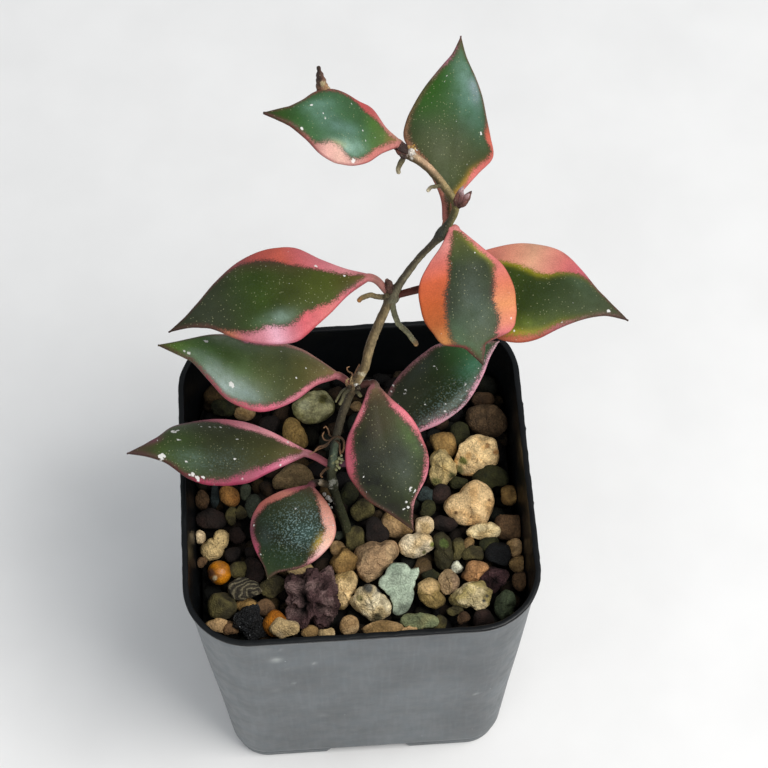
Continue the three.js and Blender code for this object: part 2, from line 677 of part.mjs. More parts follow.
// The bed: a block that fills the pot, with pebbles sunk into its top, and with
// sockets for the larger stones and the stem.
function bedGeometry(stoneSeeds, stemClearance) {
  const inset = POT.wall + CLEAR;
  const floor = potRing(POT.floorLevel + POT.wall + CLEAR, inset);
  const block = solid(loft([floor, potRing(GRAVEL.level, inset)]));
  const room = solid(loft([floor, potRing(POT.height, inset)]));
  let bed = block.add(wasm.Manifold.union(pebbleSolids()).intersect(room));
  STONES.forEach((stone, i) => {
    bed = bed.subtract(solid(stoneGeometry(stone, stoneSeeds[i], SOCKET)));
  });
  return geometryOf(largestBody(bed.subtract(stemClearance)));
}

// ------------------------------------------------------------ the object

const object = new THREE.Group();
object.position.copy(AXIS);

const stoneSeeds = STONES.map((stone, i) => STONE.seed + STONE.seedStep * i);
const clearStem = stemSolid(CLEAR);

object.add(piece('pot', potGeometry(), LOOKS.pot));
object.add(piece('gravel_bed', bedGeometry(stoneSeeds, clearStem), LOOKS.gravel));
STONES.forEach((stone, i) => {
  const look = { ...LOOKS.stone, color: stone.colour };
  object.add(piece(stone.name, stoneGeometry(stone, stoneSeeds[i], 0), look));
});
object.add(piece('stem', geometryOf(stemSolid(0)), LOOKS.stem));
for (const leaf of LEAVES) {
  object.add(piece(leaf.name, leafGeometry(leaf, clearStem), LOOKS.leaf));
}

export default object;
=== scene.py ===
"""A young wax plant (hoya) with pink-edged leaves, in a square black nursery pot of mixed gravel."""

import json
import math

import bpy
import numpy as np
from mathutils import Matrix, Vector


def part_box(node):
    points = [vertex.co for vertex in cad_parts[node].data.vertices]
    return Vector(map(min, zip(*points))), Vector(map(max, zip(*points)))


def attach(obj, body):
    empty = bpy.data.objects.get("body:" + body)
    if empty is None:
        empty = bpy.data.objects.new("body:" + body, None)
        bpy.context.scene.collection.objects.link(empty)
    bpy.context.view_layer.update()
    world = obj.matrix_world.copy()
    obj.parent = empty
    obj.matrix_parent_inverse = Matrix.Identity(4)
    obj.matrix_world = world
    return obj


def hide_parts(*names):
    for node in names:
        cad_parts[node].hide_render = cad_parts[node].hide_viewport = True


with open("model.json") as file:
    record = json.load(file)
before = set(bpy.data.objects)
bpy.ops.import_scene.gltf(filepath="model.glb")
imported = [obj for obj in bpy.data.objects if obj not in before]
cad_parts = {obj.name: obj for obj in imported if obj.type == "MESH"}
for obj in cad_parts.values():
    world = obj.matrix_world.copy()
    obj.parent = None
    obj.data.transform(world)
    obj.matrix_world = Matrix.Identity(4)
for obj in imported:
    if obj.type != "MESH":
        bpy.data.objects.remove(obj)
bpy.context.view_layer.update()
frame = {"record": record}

# ------------------------------------------------------------------- the view
# A camera half a metre away that looks steeply down, as the photograph was
# taken. Stones and marks are placed by where they show in its picture, 768
# pixels square, so it comes before the pieces.

MM = 0.001
pot_corners = np.array(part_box("pot"))
POT_AXIS = pot_corners.mean(0) * [1, 1, 0]  # metres; all else is in mm from this axis

PICTURE = 768
FOCAL_PIXELS = 2178.3
SENSOR = 36.0
VIEW_TARGET = np.array([8.44, 35.27, 60.0])
VIEW_DISTANCE = 505.1
view_azimuth, view_elevation, view_roll = np.radians([-3.501, 60.908, -0.353])


def unit(vector):
    """The vector divided by its length, for one vector or an array of them."""
    return vector / np.linalg.norm(vector, axis=-1, keepdims=True)


toward_eye = np.array([
    math.sin(view_azimuth) * math.cos(view_elevation),
    -math.cos(view_azimuth) * math.cos(view_elevation),
    math.sin(view_elevation),
])
level_right = unit(np.cross([0, 0, 1], toward_eye))
level_upward = np.cross(toward_eye, level_right)
rightward = math.cos(view_roll) * level_right + math.sin(view_roll) * level_upward
upward = math.cos(view_roll) * level_upward - math.sin(view_roll) * level_right
eye = VIEW_TARGET + toward_eye * VIEW_DISTANCE

camera_data = bpy.data.cameras.new("camera")
camera_data.sensor_width = SENSOR
camera_data.lens = FOCAL_PIXELS / PICTURE * SENSOR
camera = bpy.data.objects.new("camera", camera_data)
place = np.eye(4)
place[:3, :3] = np.stack([rightward, upward, toward_eye], 1)
place[:3, 3] = eye * MM + POT_AXIS
camera.matrix_world = Matrix(place.tolist())
bpy.context.scene.collection.objects.link(camera)
bpy.context.scene.camera = camera


def seen_on(pixels, point, normal):
    """Where the sight lines through pixels of the picture meet a plane: the eye
    plus each line times (point - eye).normal / line.normal."""
    pixels = np.atleast_2d(np.array(pixels, float)) - PICTURE / 2
    lines = (pixels[:, :1] * rightward - pixels[:, 1:] * upward) / FOCAL_PIXELS - toward_eye
    reach = ((point - eye) @ normal) / (lines @ normal)
    return eye + reach[:, None] * lines


def shown_at(points):
    """The pixels of the picture at which points show: their distances to the
    right and down over their depth, times the focal length."""
    away = points - eye
    depth = -(away @ toward_eye)
    across = np.stack([away @ rightward, -(away @ upward)], -1) / depth[..., None]
    return across * FOCAL_PIXELS + PICTURE / 2


# ------------------------------------------------------------------ the pot
# A thin square cup with round corners, moulded in black plastic, that narrows
# towards its foot. It stands on a ring that is notched in the middle of each
# side, and its floor has five drain holes.

POT_HEIGHT = pot_corners[1, 2] / MM
POT_TOP = (pot_corners[1, 0] - pot_corners[0, 0]) / MM
POT_BASE = 64.0
TOP_CORNER, BASE_CORNER = 14.0, 8.5
WALL = 1.2
FLOOR_UNDERSIDE = 3.2
FOOT_INSET = 0.5
NOTCH_HEIGHT = 2.8
NOTCH_HALF, NOTCH_HALF_BELOW = 8.5, 9.97
DRAIN_RADIUS, DRAIN_SPREAD = 3.0, 18.0
LIP = 0.45  # how far the rim stands out over the wall
RIM_DEPTH = 1.3
EDGE_ROUND = 0.25  # of the foot ring
MIDDLE_HOLE = 0.03  # the share of the way at which the rings stop short of the axis
SIDE_STEPS, CORNER_STEPS = 84, 20
RIM_WEAR, NIB = 0.1, 0.9
WALL_WARP, WARP_SIZE = 0.12, 26


def grain(points, size, seed):
    """Smooth noise from -1 to 1. Each corner of a grid of cubes of that size has
    a random value, and inside a cube the eight are mixed by smooth steps."""
    values = np.random.default_rng(seed).uniform(-1, 1, 4096)
    place = points / size
    cell = np.floor(place).astype(int)
    share = place - cell
    share = share * share * (3 - 2 * share)
    total = 0
    for corner in np.ndindex(2, 2, 2):
        key = np.bitwise_xor.reduce((cell + corner) * [73856093, 19349663, 83492791], axis=-1)
        weight = np.where(np.array(corner) == 1, share, 1 - share).prod(-1)
        total = total + weight * values[key % 4096]
    return total


def layered_grain(points, size, seed, layers=3):
    """Noise at a size, plus half as much at half the size, and so on."""
    return sum(grain(points, size / 2**k, seed + k) / 2**k for k in range(layers))


def step(low, high, value):
    """0 below low, 1 above high, and a smooth S between them."""
    share = np.clip((value - low) / (high - low), 0, 1)
    return share * share * (3 - 2 * share)


def closed_skin(rings):
    """The points and faces of a closed skin over rings of equal length, with a
    fan to a middle point at each end. The rings run anticlockwise seen from the
    last one, and then the faces point outwards."""
    rows, columns = rings.shape[:2]
    points = np.concatenate([rings.reshape(-1, 3), rings[0].mean(0)[None], rings[-1].mean(0)[None]])
    here = np.arange(columns)
    following = np.roll(here, -1)
    start = (np.arange(rows - 1) * columns)[:, None]
    quads = np.stack([here + start, following + start,
                      following + start + columns, here + start + columns], -1)
    end = (rows - 1) * columns
    first = np.stack([following, here, np.full(columns, rows * columns)], -1)
    last = np.stack([here + end, following + end, np.full(columns, rows * columns + 1)], -1)
    return points, quads.reshape(-1, 4).tolist() + first.tolist() + last.tolist()


def joined(skins):
    """Several skins as one: each one's faces are counted on from the points
    before it."""
    points, faces, count = [], [], 0
    for skin_points, skin_faces in skins:
        points.append(skin_points)
        faces += [[corner + count for corner in face] for face in skin_faces]
        count += len(skin_points)
    return np.concatenate(points), faces


def add_piece(name, skin, material, slot, stands_for=(), **facts):
    """Makes an object of a skin in mm about the pot's axis. facts are numbers or
    colours for each point that the material reads as attributes."""
    points, faces = skin
    mesh = bpy.data.meshes.new(name)
    mesh.from_pydata((points * MM + POT_AXIS).tolist(), [], faces)
    mesh.polygons.foreach_set("use_smooth", np.ones(len(mesh.polygons), bool))
    for key, values in facts.items():
        if values.ndim == 1:
            mesh.attributes.new(key, "FLOAT", "POINT").data.foreach_set("value", values.astype(np.float32))
        else:
            colours = np.concatenate([values, np.ones((len(values), 1))], 1).astype(np.float32)
            mesh.attributes.new(key, "FLOAT_COLOR", "POINT").data.foreach_set("color", colours.ravel())
    mesh.materials.append(material)
    item = bpy.data.objects.new(name, mesh)
    bpy.context.scene.collection.objects.link(item)
    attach(item, "root")
    if stands_for:
        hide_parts(*stands_for)
    return item


def with_ends(values):
    """Values for each point of closed_skin's rings, and for its two end points."""
    flat = values.reshape(-1, *values.shape[2:])
    return np.concatenate([flat, values[0].mean(0)[None], values[-1].mean(0)[None]])


def paint(code):
    """A colour written as six hexadecimal digits, as linear red, green, blue."""
    shades = np.array([int(code[i:i + 2], 16) for i in (0, 2, 4)]) / 255
    return np.where(shades <= 0.04045, shades / 12.92, ((shades + 0.055) / 1.055) ** 2.4)


def add(tree, kind, out=0, settings=(), **inputs):
    """Adds a node to a tree, sets or links its inputs by name (or as _number),
    and returns one of its outputs."""
    node = tree.nodes.new(kind)
    for key, value in settings:
        setattr(node, key, value)
    for key, value in inputs.items():
        socket = node.inputs[int(key[1:]) if key[0] == "_" else key.replace("_", " ")]
        if isinstance(value, bpy.types.NodeSocket):
            tree.links.new(value, socket)
        else:
            socket.default_value = value
    return node.outputs[out]


def arithmetic(tree, operation, *values):
    """A Math node: one operation on numbers or sockets."""
    inputs = {f"_{i}": value for i, value in enumerate(values)}
    return add(tree, "ShaderNodeMath", settings=[("operation", operation)], **inputs)


def blend(tree, share, first, second):
    """A colour that goes from first to second as share goes from 0 to 1."""
    colours = [(*c, 1) if isinstance(c, np.ndarray) else c for c in (first, second)]
    return add(tree, "ShaderNodeMix", out=2, settings=[("data_type", "RGBA")],
               _0=share, _6=colours[0], _7=colours[1])


def attribute(tree, name, out="Fac"):
    """What the points of a piece carry under a name."""
    return add(tree, "ShaderNodeAttribute", out=out, settings=[("attribute_name", name)])


def new_group(name, inputs, output):
    """An empty node group with number inputs (and a place, first) and a number
    output. Returns its tree, the input sockets and the output node."""
    tree = bpy.data.node_groups.new(name, "ShaderNodeTree")
    tree.interface.new_socket("Place", in_out="INPUT", socket_type="NodeSocketVector")
    for key, value in inputs:
        tree.interface.new_socket(key, in_out="INPUT", socket_type="NodeSocketFloat").default_value = value
    tree.interface.new_socket(output, in_out="OUTPUT", socket_type="NodeSocketFloat")
    given = tree.nodes.new("NodeGroupInput").outputs
    return tree, given, tree.nodes.new("NodeGroupOutput")


def use_group(tree, group, **inputs):
    """Places a node group in a material with its own values."""
    return add(tree, "ShaderNodeGroup", settings=[("node_tree", group)], **inputs)


def new_finish(name, **constants):
    """A material with a Principled shader, its constants set on the shader's own
    sockets. Returns the material, its tree and the shader."""
    material = bpy.data.materials.new(name)
    material.use_nodes = True
    tree = material.node_tree
    shader = tree.nodes["Principled BSDF"]
    for key, value in constants.items():
        shader.inputs[key.replace("_", " ")].default_value = value
    return material, tree, shader


METRE = 1000.0  # mm, for pattern sizes inside materials

# Cloudy blotches of a size in mm: 0 where the noise is under Low, 1 over High.
blotches, given, result = new_group("Blotches", [("Size", 1.0), ("Low", 0.4), ("High", 0.6)], "Share")
clouds = add(blotches, "ShaderNodeTexNoise", Vector=given["Place"], Detail=3.0,
             Scale=arithmetic(blotches, "DIVIDE", METRE, given["Size"]))
share = add(blotches, "ShaderNodeMapRange", settings=[("interpolation_type", "SMOOTHSTEP")],
            Value=clouds, From_Min=given["Low"], From_Max=given["High"])
blotches.links.new(share, result.inputs[0])

# Small round flecks: the cells of a loose grid with that spacing in mm each hold
# one of that radius, or none, so that only a share of the cells have one.
flecks, given, result = new_group("Flecks", [("Spacing", 1.0), ("Radius", 0.2), ("Share", 0.5)], "Mask")
wobble = add(flecks, "ShaderNodeTexNoise", out=1, Vector=given["Place"], Scale=2500.0)
shaken = add(flecks, "ShaderNodeMix", out=1, settings=[("data_type", "VECTOR")],
             _0=0.00015, _4=given["Place"], _5=wobble)
cells = add(flecks, "ShaderNodeTexVoronoi", Vector=shaken,
            Scale=arithmetic(flecks, "DIVIDE", METRE, given["Spacing"]))
from_middle = arithmetic(flecks, "MULTIPLY", cells, given["Spacing"])
round_spot = add(flecks, "ShaderNodeMapRange", settings=[("interpolation_type", "SMOOTHSTEP")],
                 Value=from_middle, From_Min=given["Radius"],
                 From_Max=arithmetic(flecks, "MULTIPLY", given["Radius"], 0.4))
draw = add(flecks, "ShaderNodeSeparateColor", Color=cells.node.outputs["Color"])
chosen = arithmetic(flecks, "LESS_THAN", draw, given["Share"])
flecks.links.new(arithmetic(flecks, "MULTIPLY", round_spot, chosen), result.inputs[0])


def square_columns(side_steps, corner_steps):
    """For each column of a round-cornered square ring, anticlockwise: where it
    stands in the square of corner centres (-1 to 1), and its outward direction."""
    stands, outs = [], []
    for quarter in range(4):
        start = quarter * np.pi / 2
        arc = start + np.linspace(0, np.pi / 2, corner_steps, endpoint=False)
        here, following = (np.sign(np.cos([a, a - np.pi / 2])) for a in start + np.array([1, 3]) * np.pi / 4)
        share = np.linspace(0, 1, side_steps, endpoint=False)[:, None]
        stands += [np.tile(here, (corner_steps, 1)), here * (1 - share) + following * share]
        outs += [np.stack([np.cos(arc), np.sin(arc)], 1),
                 np.tile([np.cos(start + np.pi / 2), np.sin(start + np.pi / 2)], (side_steps, 1))]
    return np.concatenate(stands), np.concatenate(outs)


def pot_rings(columns, heights, insets, scales=1.0):
    """Rings of the pot: at each height the square of the wall's width there, drawn
    in by the inset and then scaled towards the axis."""
    stands, outs = columns
    share = heights / POT_HEIGHT
    corner = BASE_CORNER + (TOP_CORNER - BASE_CORNER) * share
    straight = (POT_BASE + (POT_TOP - POT_BASE) * share) / 2 - corner
    level = straight[:, None, None] * stands + (corner - insets)[:, None, None] * outs
    level = level * np.reshape(scales * np.ones_like(heights), (-1, 1, 1))
    return np.concatenate([level, np.broadcast_to(heights[:, None, None], (*level.shape[:2], 1))], -1)


def pot_skin():
    """The pot as one closed profile carried round the square: from the middle of
    the underside over the foot ring, up the outside, over the rim and down the
    inside to the middle of the floor. Each stretch is height, inset, scale and
    the number of rows up to it."""
    inner = FOOT_INSET + WALL
    floor_top = FLOOR_UNDERSIDE + WALL
    top = POT_HEIGHT
    stretches = [
        # the underside, and the inner side of the foot ring
        (FLOOR_UNDERSIDE, inner, MIDDLE_HOLE, 1), (FLOOR_UNDERSIDE, inner, 1, 14), (EDGE_ROUND, inner, 1, 4),
        # under the ring, and up its outer side to the wall
        (0, inner - EDGE_ROUND, 1, 1), (0, FOOT_INSET + EDGE_ROUND, 1, 1), (EDGE_ROUND, FOOT_INSET, 1, 1),
        (NOTCH_HEIGHT, FOOT_INSET - 0.1, 1, 4), (3.3, FOOT_INSET + 0.4, 1, 2), (3.8, 0.35, 1, 1),
        (4.3, 0, 1, 1),
        # up the outside, out to the rim and over it
        (top - RIM_DEPTH - 0.4, LIP, 1, 62), (top - RIM_DEPTH, 0.05, 1, 2), (top - 0.5, -0.1, 1, 3),
        (top - 0.12, 0, 1, 2), (top, 0.3, 1, 2), (top, WALL - 0.3, 1, 1), (top - 0.15, WALL - 0.05, 1, 1),
        (top - 0.5, WALL, 1, 1),
        # down the inside, and along the floor
        (floor_top + 1, WALL, 1, 44), (floor_top + 0.3, WALL + 0.3, 1, 2), (floor_top, WALL + 1, 1, 1),
        (floor_top, WALL + 1, MIDDLE_HOLE, 16),
    ]
    at = np.cumsum([s[3] for s in stretches])
    rows = np.arange(at[0], at[-1] + 1)
    heights, insets, scales = (np.interp(rows, at, [s[k] for s in stretches]) for k in range(3))
    rings = pot_rings(square_columns(SIDE_STEPS, CORNER_STEPS), heights, insets, scales)

    lateral = np.abs(rings[..., :2]).min(-1)
    notch = np.interp(lateral, [NOTCH_HALF, NOTCH_HALF_BELOW], [NOTCH_HEIGHT, 0])
    low = np.clip(1 - rings[..., 2] / FLOOR_UNDERSIDE, 0, 1)
    rings[..., 2] += notch * low

    # The rim is a little ragged, and the thin walls are not quite true.
    outward = unit(rings * [1, 1, 0])
    near_rim = step(POT_HEIGHT - 1.2, POT_HEIGHT - 0.2, rings[..., 2])
    nibs = np.maximum(grain(rings, 0.9, 11) - 0.55, 0) * step(20, 34, rings[..., 0] - rings[..., 1] * 0.5)
    wear = RIM_WEAR * (grain(rings, 1.5, 12) + 0.5 * grain(rings, 5, 13)) * near_rim
    warp = WALL_WARP * grain(rings, WARP_SIZE, 14) * step(6, 30, rings[..., 2]) * (1 - near_rim)
    rings = rings + outward * (wear + warp + NIB * nibs * near_rim)[..., None]
    return rings, heights, insets


pot_surface, pot_heights, pot_insets = pot_skin()

# Marks on the front: a small raised ring, nicks and a scuff, by picture place,
# radius and height in mm, and how pale they are.
FRONT_MARKS = [
    ((276.5, 690.5), 1.0, 0.14, 0.1), ((276.5, 662), 1.1, -0.1, 0.75), ((281, 651.5), 0.35, 0.05, 0.9),
    ((294, 684), 0.4, 0.05, 0.6), ((314.5, 665), 0.4, 0.05, 0.9), ((477, 694.5), 0.5, 0.06, 0.9),
    ((262, 653), 1.6, -0.12, 0.1), ((322, 716), 1.2, -0.06, 0.1), ((287, 670.5), 0.3, 0.03, 0.6),
]
front_normal = unit(np.array([0, -POT_HEIGHT, -(POT_TOP - POT_BASE) / 2]))
scuff = np.zeros(pot_surface.shape[:2])
is_outside = (np.arange(len(pot_heights)) < np.argmax(pot_heights)) & (pot_heights > 0.1) & (pot_insets < 1)
for pixel, radius, height, pale in FRONT_MARKS:
    spot = seen_on(pixel, np.array([0, -POT_BASE / 2, 0]), front_normal)[0]
    away = np.linalg.norm((pot_surface - spot) * [1, 1, 0.8], axis=-1) / radius
    mark = np.exp(-away**2) * is_outside[:, None]
    pot_surface = pot_surface + front_normal * (height * mark)[..., None]
    scuff = np.maximum(scuff, pale * mark)

pot_finish, tree, shader = new_finish("pot_plastic", Roughness=0.42)
position = add(tree, "ShaderNodeTexCoord", out="Object")
outside = attribute(tree, "outside")
cloud = use_group(tree, blotches, Place=position, Size=14.0, Low=0.3, High=0.75)
smudge = use_group(tree, blotches, Place=position, Size=3.0, Low=0.35, High=0.75)
stretched = add(tree, "ShaderNodeMapping", Vector=position, Scale=(1.0, 1.0, 0.06))
streak = use_group(tree, blotches, Place=stretched, Size=0.9, Low=0.4, High=0.8)
# The outer walls are lightened towards pale grey. This is partly a dusty bloom on the plastic and partly
# painted sheen, the grey look that reflection gives the black walls. The inside stays black.
dust_and_sheen = arithmetic(tree, "MULTIPLY_ADD", cloud, 0.35, arithmetic(tree, "MULTIPLY_ADD", smudge, 0.25, 0.4))
dust_and_sheen = arithmetic(tree, "MULTIPLY_ADD", streak, 0.16, dust_and_sheen)
dust_and_sheen = arithmetic(tree, "MULTIPLY", dust_and_sheen, outside)
plastic = blend(tree, dust_and_sheen, paint("0e1012"), paint("60676b"))
speck = use_group(tree, flecks, Place=position, Spacing=3.0, Radius=0.2, Share=0.16)
plastic = blend(tree, arithmetic(tree, "MULTIPLY", speck, 0.65), plastic, paint("c8ccc8"))
plastic = blend(tree, attribute(tree, "scuff"), plastic, paint("b9bdb9"))
tree.links.new(plastic, shader.inputs["Base Color"])
rough = add(tree, "ShaderNodeMapRange", Value=arithmetic(tree, "MULTIPLY_ADD", outside, 0.5, smudge),
            To_Min=0.3, To_Max=0.52, From_Max=1.5)
tree.links.new(rough, shader.inputs["Roughness"])
skin_relief = add(tree, "ShaderNodeTexNoise", Vector=position, Scale=700.0, Detail=4.0)
gloss = arithmetic(tree, "MULTIPLY_ADD", outside, 0.3, 0.2)  # the inside is the duller
tree.links.new(gloss, shader.inputs["Specular IOR Level"])
relief = arithmetic(tree, "MULTIPLY_ADD", streak, 0.4, skin_relief)
bump = add(tree, "ShaderNodeBump", Strength=0.12, Distance=0.0003, Height=relief)
tree.links.new(bump, shader.inputs["Normal"])

outside_share = is_outside[:, None] * step(POT_HEIGHT - 1.2, POT_HEIGHT - 1.5, pot_surface[..., 2])
pot = add_piece("pot_shell", closed_skin(pot_surface), pot_finish, "pot_plastic", ["pot"],
                outside=with_ends(outside_share), scuff=with_ends(scuff))

# The drain holes are cut through the floor.
PUNCH_BOTTOM, PUNCH_TOP = 1.0, 6.0
turn = np.linspace(0, 2 * np.pi, 40, endpoint=False)
punches = []
for x, y in [(0, 0), (1, 1), (-1, 1), (-1, -1), (1, -1)]:
    circle = np.stack([x * DRAIN_SPREAD + DRAIN_RADIUS * np.cos(turn),
                       y * DRAIN_SPREAD + DRAIN_RADIUS * np.sin(turn), 0 * turn], 1)
    punches.append(closed_skin(np.stack([circle + [0, 0, z] for z in (PUNCH_BOTTOM, PUNCH_TOP)])))
punch_points, punch_faces = joined(punches)
punch_mesh = bpy.data.meshes.new("punch")
punch_mesh.from_pydata((punch_points * MM + POT_AXIS).tolist(), [], punch_faces)
punch = bpy.data.objects.new("punch", punch_mesh)
bpy.context.scene.collection.objects.link(punch)
cut = pot.modifiers.new("drain holes", "BOOLEAN")
cut.object = punch
cut.solver = "EXACT"
bpy.context.view_layer.objects.active = pot
with bpy.context.temp_override(object=pot, active_object=pot, selected_objects=[pot]):
    bpy.ops.object.modifier_apply(modifier=cut.name)
bpy.data.objects.remove(punch)

# ------------------------------------------------------- the larger stones
# Broken pumice, pebbles, a green flake, lava, charcoal and a coated ball of plant
# food. They lie loose on the fill, each where it shows in the picture and as deep
# as its solid in the frame.

BREAK_SHARPNESS = 75
SWELL_LIMIT = 1.12  # how far an uncut place may stand out over the girth
ROUGH_SIZE, PORE_SIZE, FOLD_SIZE = 2.4, 1.5, 3.2
ROCK_COLUMNS, ROCK_ROWS, ROCK_SEED = 96, 56, 40


def chipped(directions, cuts, depth, seed):
    """How far a lump of reach 1 extends in each direction once random planes have
    cut it: a soft minimum over the planes of distance / cosine."""
    random = np.random.default_rng(seed)
    normals = unit(random.normal(size=(cuts, 3)))
    distances = 1 - depth * random.random(cuts)
    closeness = np.maximum(directions @ normals.T, 0) / distances
    return ((closeness**BREAK_SHARPNESS).sum(-1) + 1) ** (-1 / BREAK_SHARPNESS)


def lump(middle, axes, reach, depth, seed, cuts=9, chip=0.3, rough=0.15, fold=0.0, flat=0.75, rows=36,
         whole=True):
    """A stone round an axis. At each angle it reaches as far as given, and along
    the axis it is a rounded slab of that depth. Random planes chip it, but not
    at its girth if that is whole, and noise roughens or folds its skin. Returns
    the rings, and how hollow each place is (from 0 to 1)."""
    columns = len(reach)
    side, over, out = axes
    angle = 2 * np.pi * np.arange(columns) / columns
    tilt = (np.arange(rows) + 0.5) / rows * np.pi
    spokes = np.cos(angle)[:, None] * side + np.sin(angle)[:, None] * over
    wide = np.sin(tilt)[:, None] ** flat
    high = -np.sign(np.cos(tilt)) * np.abs(np.cos(tilt)) ** flat
    directions = np.sin(tilt)[:, None, None] * spokes - np.cos(tilt)[:, None, None] * out
    if cuts:
        factor = chipped(directions, cuts, chip, seed)
        girth = chipped(spokes, cuts, chip, seed)
        factor = factor / (girth if whole else girth.mean())
    else:
        factor = np.ones((rows, columns))
    offset = (wide * reach)[..., None] * spokes + (high * depth / 2)[:, None, None] * out
    points = middle + offset * np.minimum(factor, SWELL_LIMIT)[..., None]
    pores = np.maximum(grain(points, PORE_SIZE, seed + 4) - 0.3, 0)
    relief = rough * (layered_grain(points, ROUGH_SIZE, seed, 4) - 0.9 * pores)
    if fold:
        relief = relief + fold * (1 - 2.4 * np.abs(layered_grain(points, FOLD_SIZE, seed + 9, 4)))
    hollow = np.clip(0.5 - relief / (2 * (rough + fold) + 1e-6), 0, 1)
    return points + directions * relief[..., None], hollow


def keep_in_pot(points, margin=0.25):
    """Pushes points that lie beyond the inner wall back to it: by how far they
    stand outside a round-cornered square, along the shortest way in."""
    share = points[..., 2] / POT_HEIGHT
    corner = BASE_CORNER + (TOP_CORNER - BASE_CORNER) * share - WALL - margin
    straight = (POT_BASE + (POT_TOP - POT_BASE) * share) / 2 - WALL - margin - corner
    past = np.abs(points[..., :2]) - straight[..., None]
    both = np.maximum(past, 0)
    length = np.linalg.norm(both, axis=-1)
    over = np.maximum(length - corner, 0)
    way = both / np.maximum(length, 1e-9)[..., None]
    moved = points.copy()
    moved[..., :2] -= np.sign(points[..., :2]) * way * over[..., None]
    return moved


def smooth_reach(outline, middle, columns, passes=2):
    """The distance from the middle to an outline at even angles, in the plane
    that faces the eye: drawn straight between the outline's points by angle, and
    then evened out a little."""
    away = outline - middle
    flat = np.stack([away @ rightward, away @ upward], 1)
    angle = np.arctan2(flat[:, 1], flat[:, 0])
    order = np.argsort(angle)
    even = 2 * np.pi * np.arange(columns) / columns
    reach = np.interp(even, angle[order], np.linalg.norm(flat, axis=1)[order], period=2 * np.pi)
    for _ in range(passes):
        reach = (np.roll(reach, 1) + 2 * reach + np.roll(reach, -1)) / 4
    return reach


def stone_colours(points, base, second, seed, stains=(), underside_shade=0.82, bands=None):
    """A stone's colours: the second spreads over the first in soft patches, bands
    run round a place in the picture, and stains lie over both, each at a place
    in the picture with a radius in pixels. Its lower half is painted darker, as
    painted shade under the stone."""
    patches = step(-0.25, 0.5, layered_grain(points, 3.6, seed + 3))[..., None]
    colours = paint(base) * (1 - patches) + paint(second) * patches
    colours = colours * (1 + 0.22 * layered_grain(points, 1.4, seed + 5))[..., None]
    if stains or bands:
        pixels = shown_at(points)
    if bands:
        x, y, spacing, code = bands
        away = np.linalg.norm((pixels - [x, y]) * [0.7, 1.3], axis=-1)
        wave = 2 * np.pi * away / spacing + 4.5 * layered_grain(points, 2.2, seed + 8)
        line = 0.55 * step(-0.1, 0.9, np.sin(wave))[..., None]
        colours = colours * (1 - line) + paint(code) * line
    for x, y, radius, code in stains:
        away = np.linalg.norm(pixels - [x, y], axis=-1) / radius
        share = step(1.15, 0.45, away + 0.3 * layered_grain(points, 1.6, seed + 7))[..., None]
        colours = colours * (1 - share) + paint(code) * share
    # Painted shade: the lower part of each stone is darkened, more the lower it lies.
    level = points[..., 2]
    sunk = (level - level.mean()) / (np.ptp(level) / 2) + 0.25 * layered_grain(points, 2.0, seed + 6)
    return colours * (1 - underside_shade * step(0.2, -0.75, sunk))[..., None]


def stone_finish(name, pits, roughness, relief, shine=0.3, hollow_shade=0.45, gleam=0.0):
    """Dull stone in the points' own tint: mottled, with painted shade that darkens
    its hollows, a share of small dark pits, thin cracks and a fine broken grain."""
    material, tree, shader = new_finish(name, Roughness=roughness)
    shader.inputs["Specular IOR Level"].default_value = shine
    position = add(tree, "ShaderNodeTexCoord", out="Object")
    tint = attribute(tree, "tint", "Color")
    fine = use_group(tree, blotches, Place=position, Size=0.4, Low=0.3, High=0.7)
    broad = use_group(tree, blotches, Place=position, Size=1.6, Low=0.35, High=0.65)
    shade = arithmetic(tree, "MULTIPLY_ADD", fine, 0.42, arithmetic(tree, "MULTIPLY_ADD", broad, 0.32, 0.68))
    small_pit = use_group(tree, flecks, Place=position, Spacing=0.8, Radius=0.19, Share=pits)
    large_pit = use_group(tree, flecks, Place=position, Spacing=2.0, Radius=0.38, Share=pits * 0.7)
    pit = arithmetic(tree, "MAXIMUM", small_pit, large_pit)
    warped = add(tree, "ShaderNodeTexNoise", out=1, Vector=position, Scale=900.0, Detail=3.0)
    bent = add(tree, "ShaderNodeMix", out=1, settings=[("data_type", "VECTOR")],
               _0=0.0012, _4=position, _5=warped)
    seams = add(tree, "ShaderNodeTexVoronoi", settings=[("feature", "DISTANCE_TO_EDGE")],
                Vector=bent, Scale=420.0)
    crack = add(tree, "ShaderNodeMapRange", Value=seams, From_Min=0.035, From_Max=0.0)
    crack = arithmetic(tree, "MULTIPLY", crack, broad)
    # Painted shade: the hollows of the skin are darkened in the colour.
    hollow = arithmetic(tree, "POWER", attribute(tree, "hollow"), 1.5)
    for mark, strength in ((hollow, hollow_shade), (pit, 0.6), (crack, 0.55)):
        shade = arithmetic(tree, "MULTIPLY", shade, arithmetic(tree, "MULTIPLY_ADD", mark, -strength, 1.0))
    shaded = add(tree, "ShaderNodeVectorMath", settings=[("operation", "SCALE")], _0=tint, Scale=shade)
    # Painted glints: pale flecks in the colour stand for the shine of glossy facets.
    if gleam:
        glint = use_group(tree, flecks, Place=position, Spacing=0.7, Radius=0.12, Share=gleam)
        shaded = blend(tree, glint, shaded, paint("b0b4b8"))
    tree.links.new(shaded, shader.inputs["Base Color"])
    grit = add(tree, "ShaderNodeTexNoise", Vector=position, Scale=2600.0, Detail=4.0)
    height = arithmetic(tree, "MULTIPLY_ADD", pit, -1.2, arithmetic(tree, "ADD", grit, fine))
    height = arithmetic(tree, "MULTIPLY_ADD", crack, -0.8, height)
    bump = add(tree, "ShaderNodeBump", Strength=relief, Distance=0.0004, Height=height)
    tree.links.new(bump, shader.inputs["Normal"])
    return material


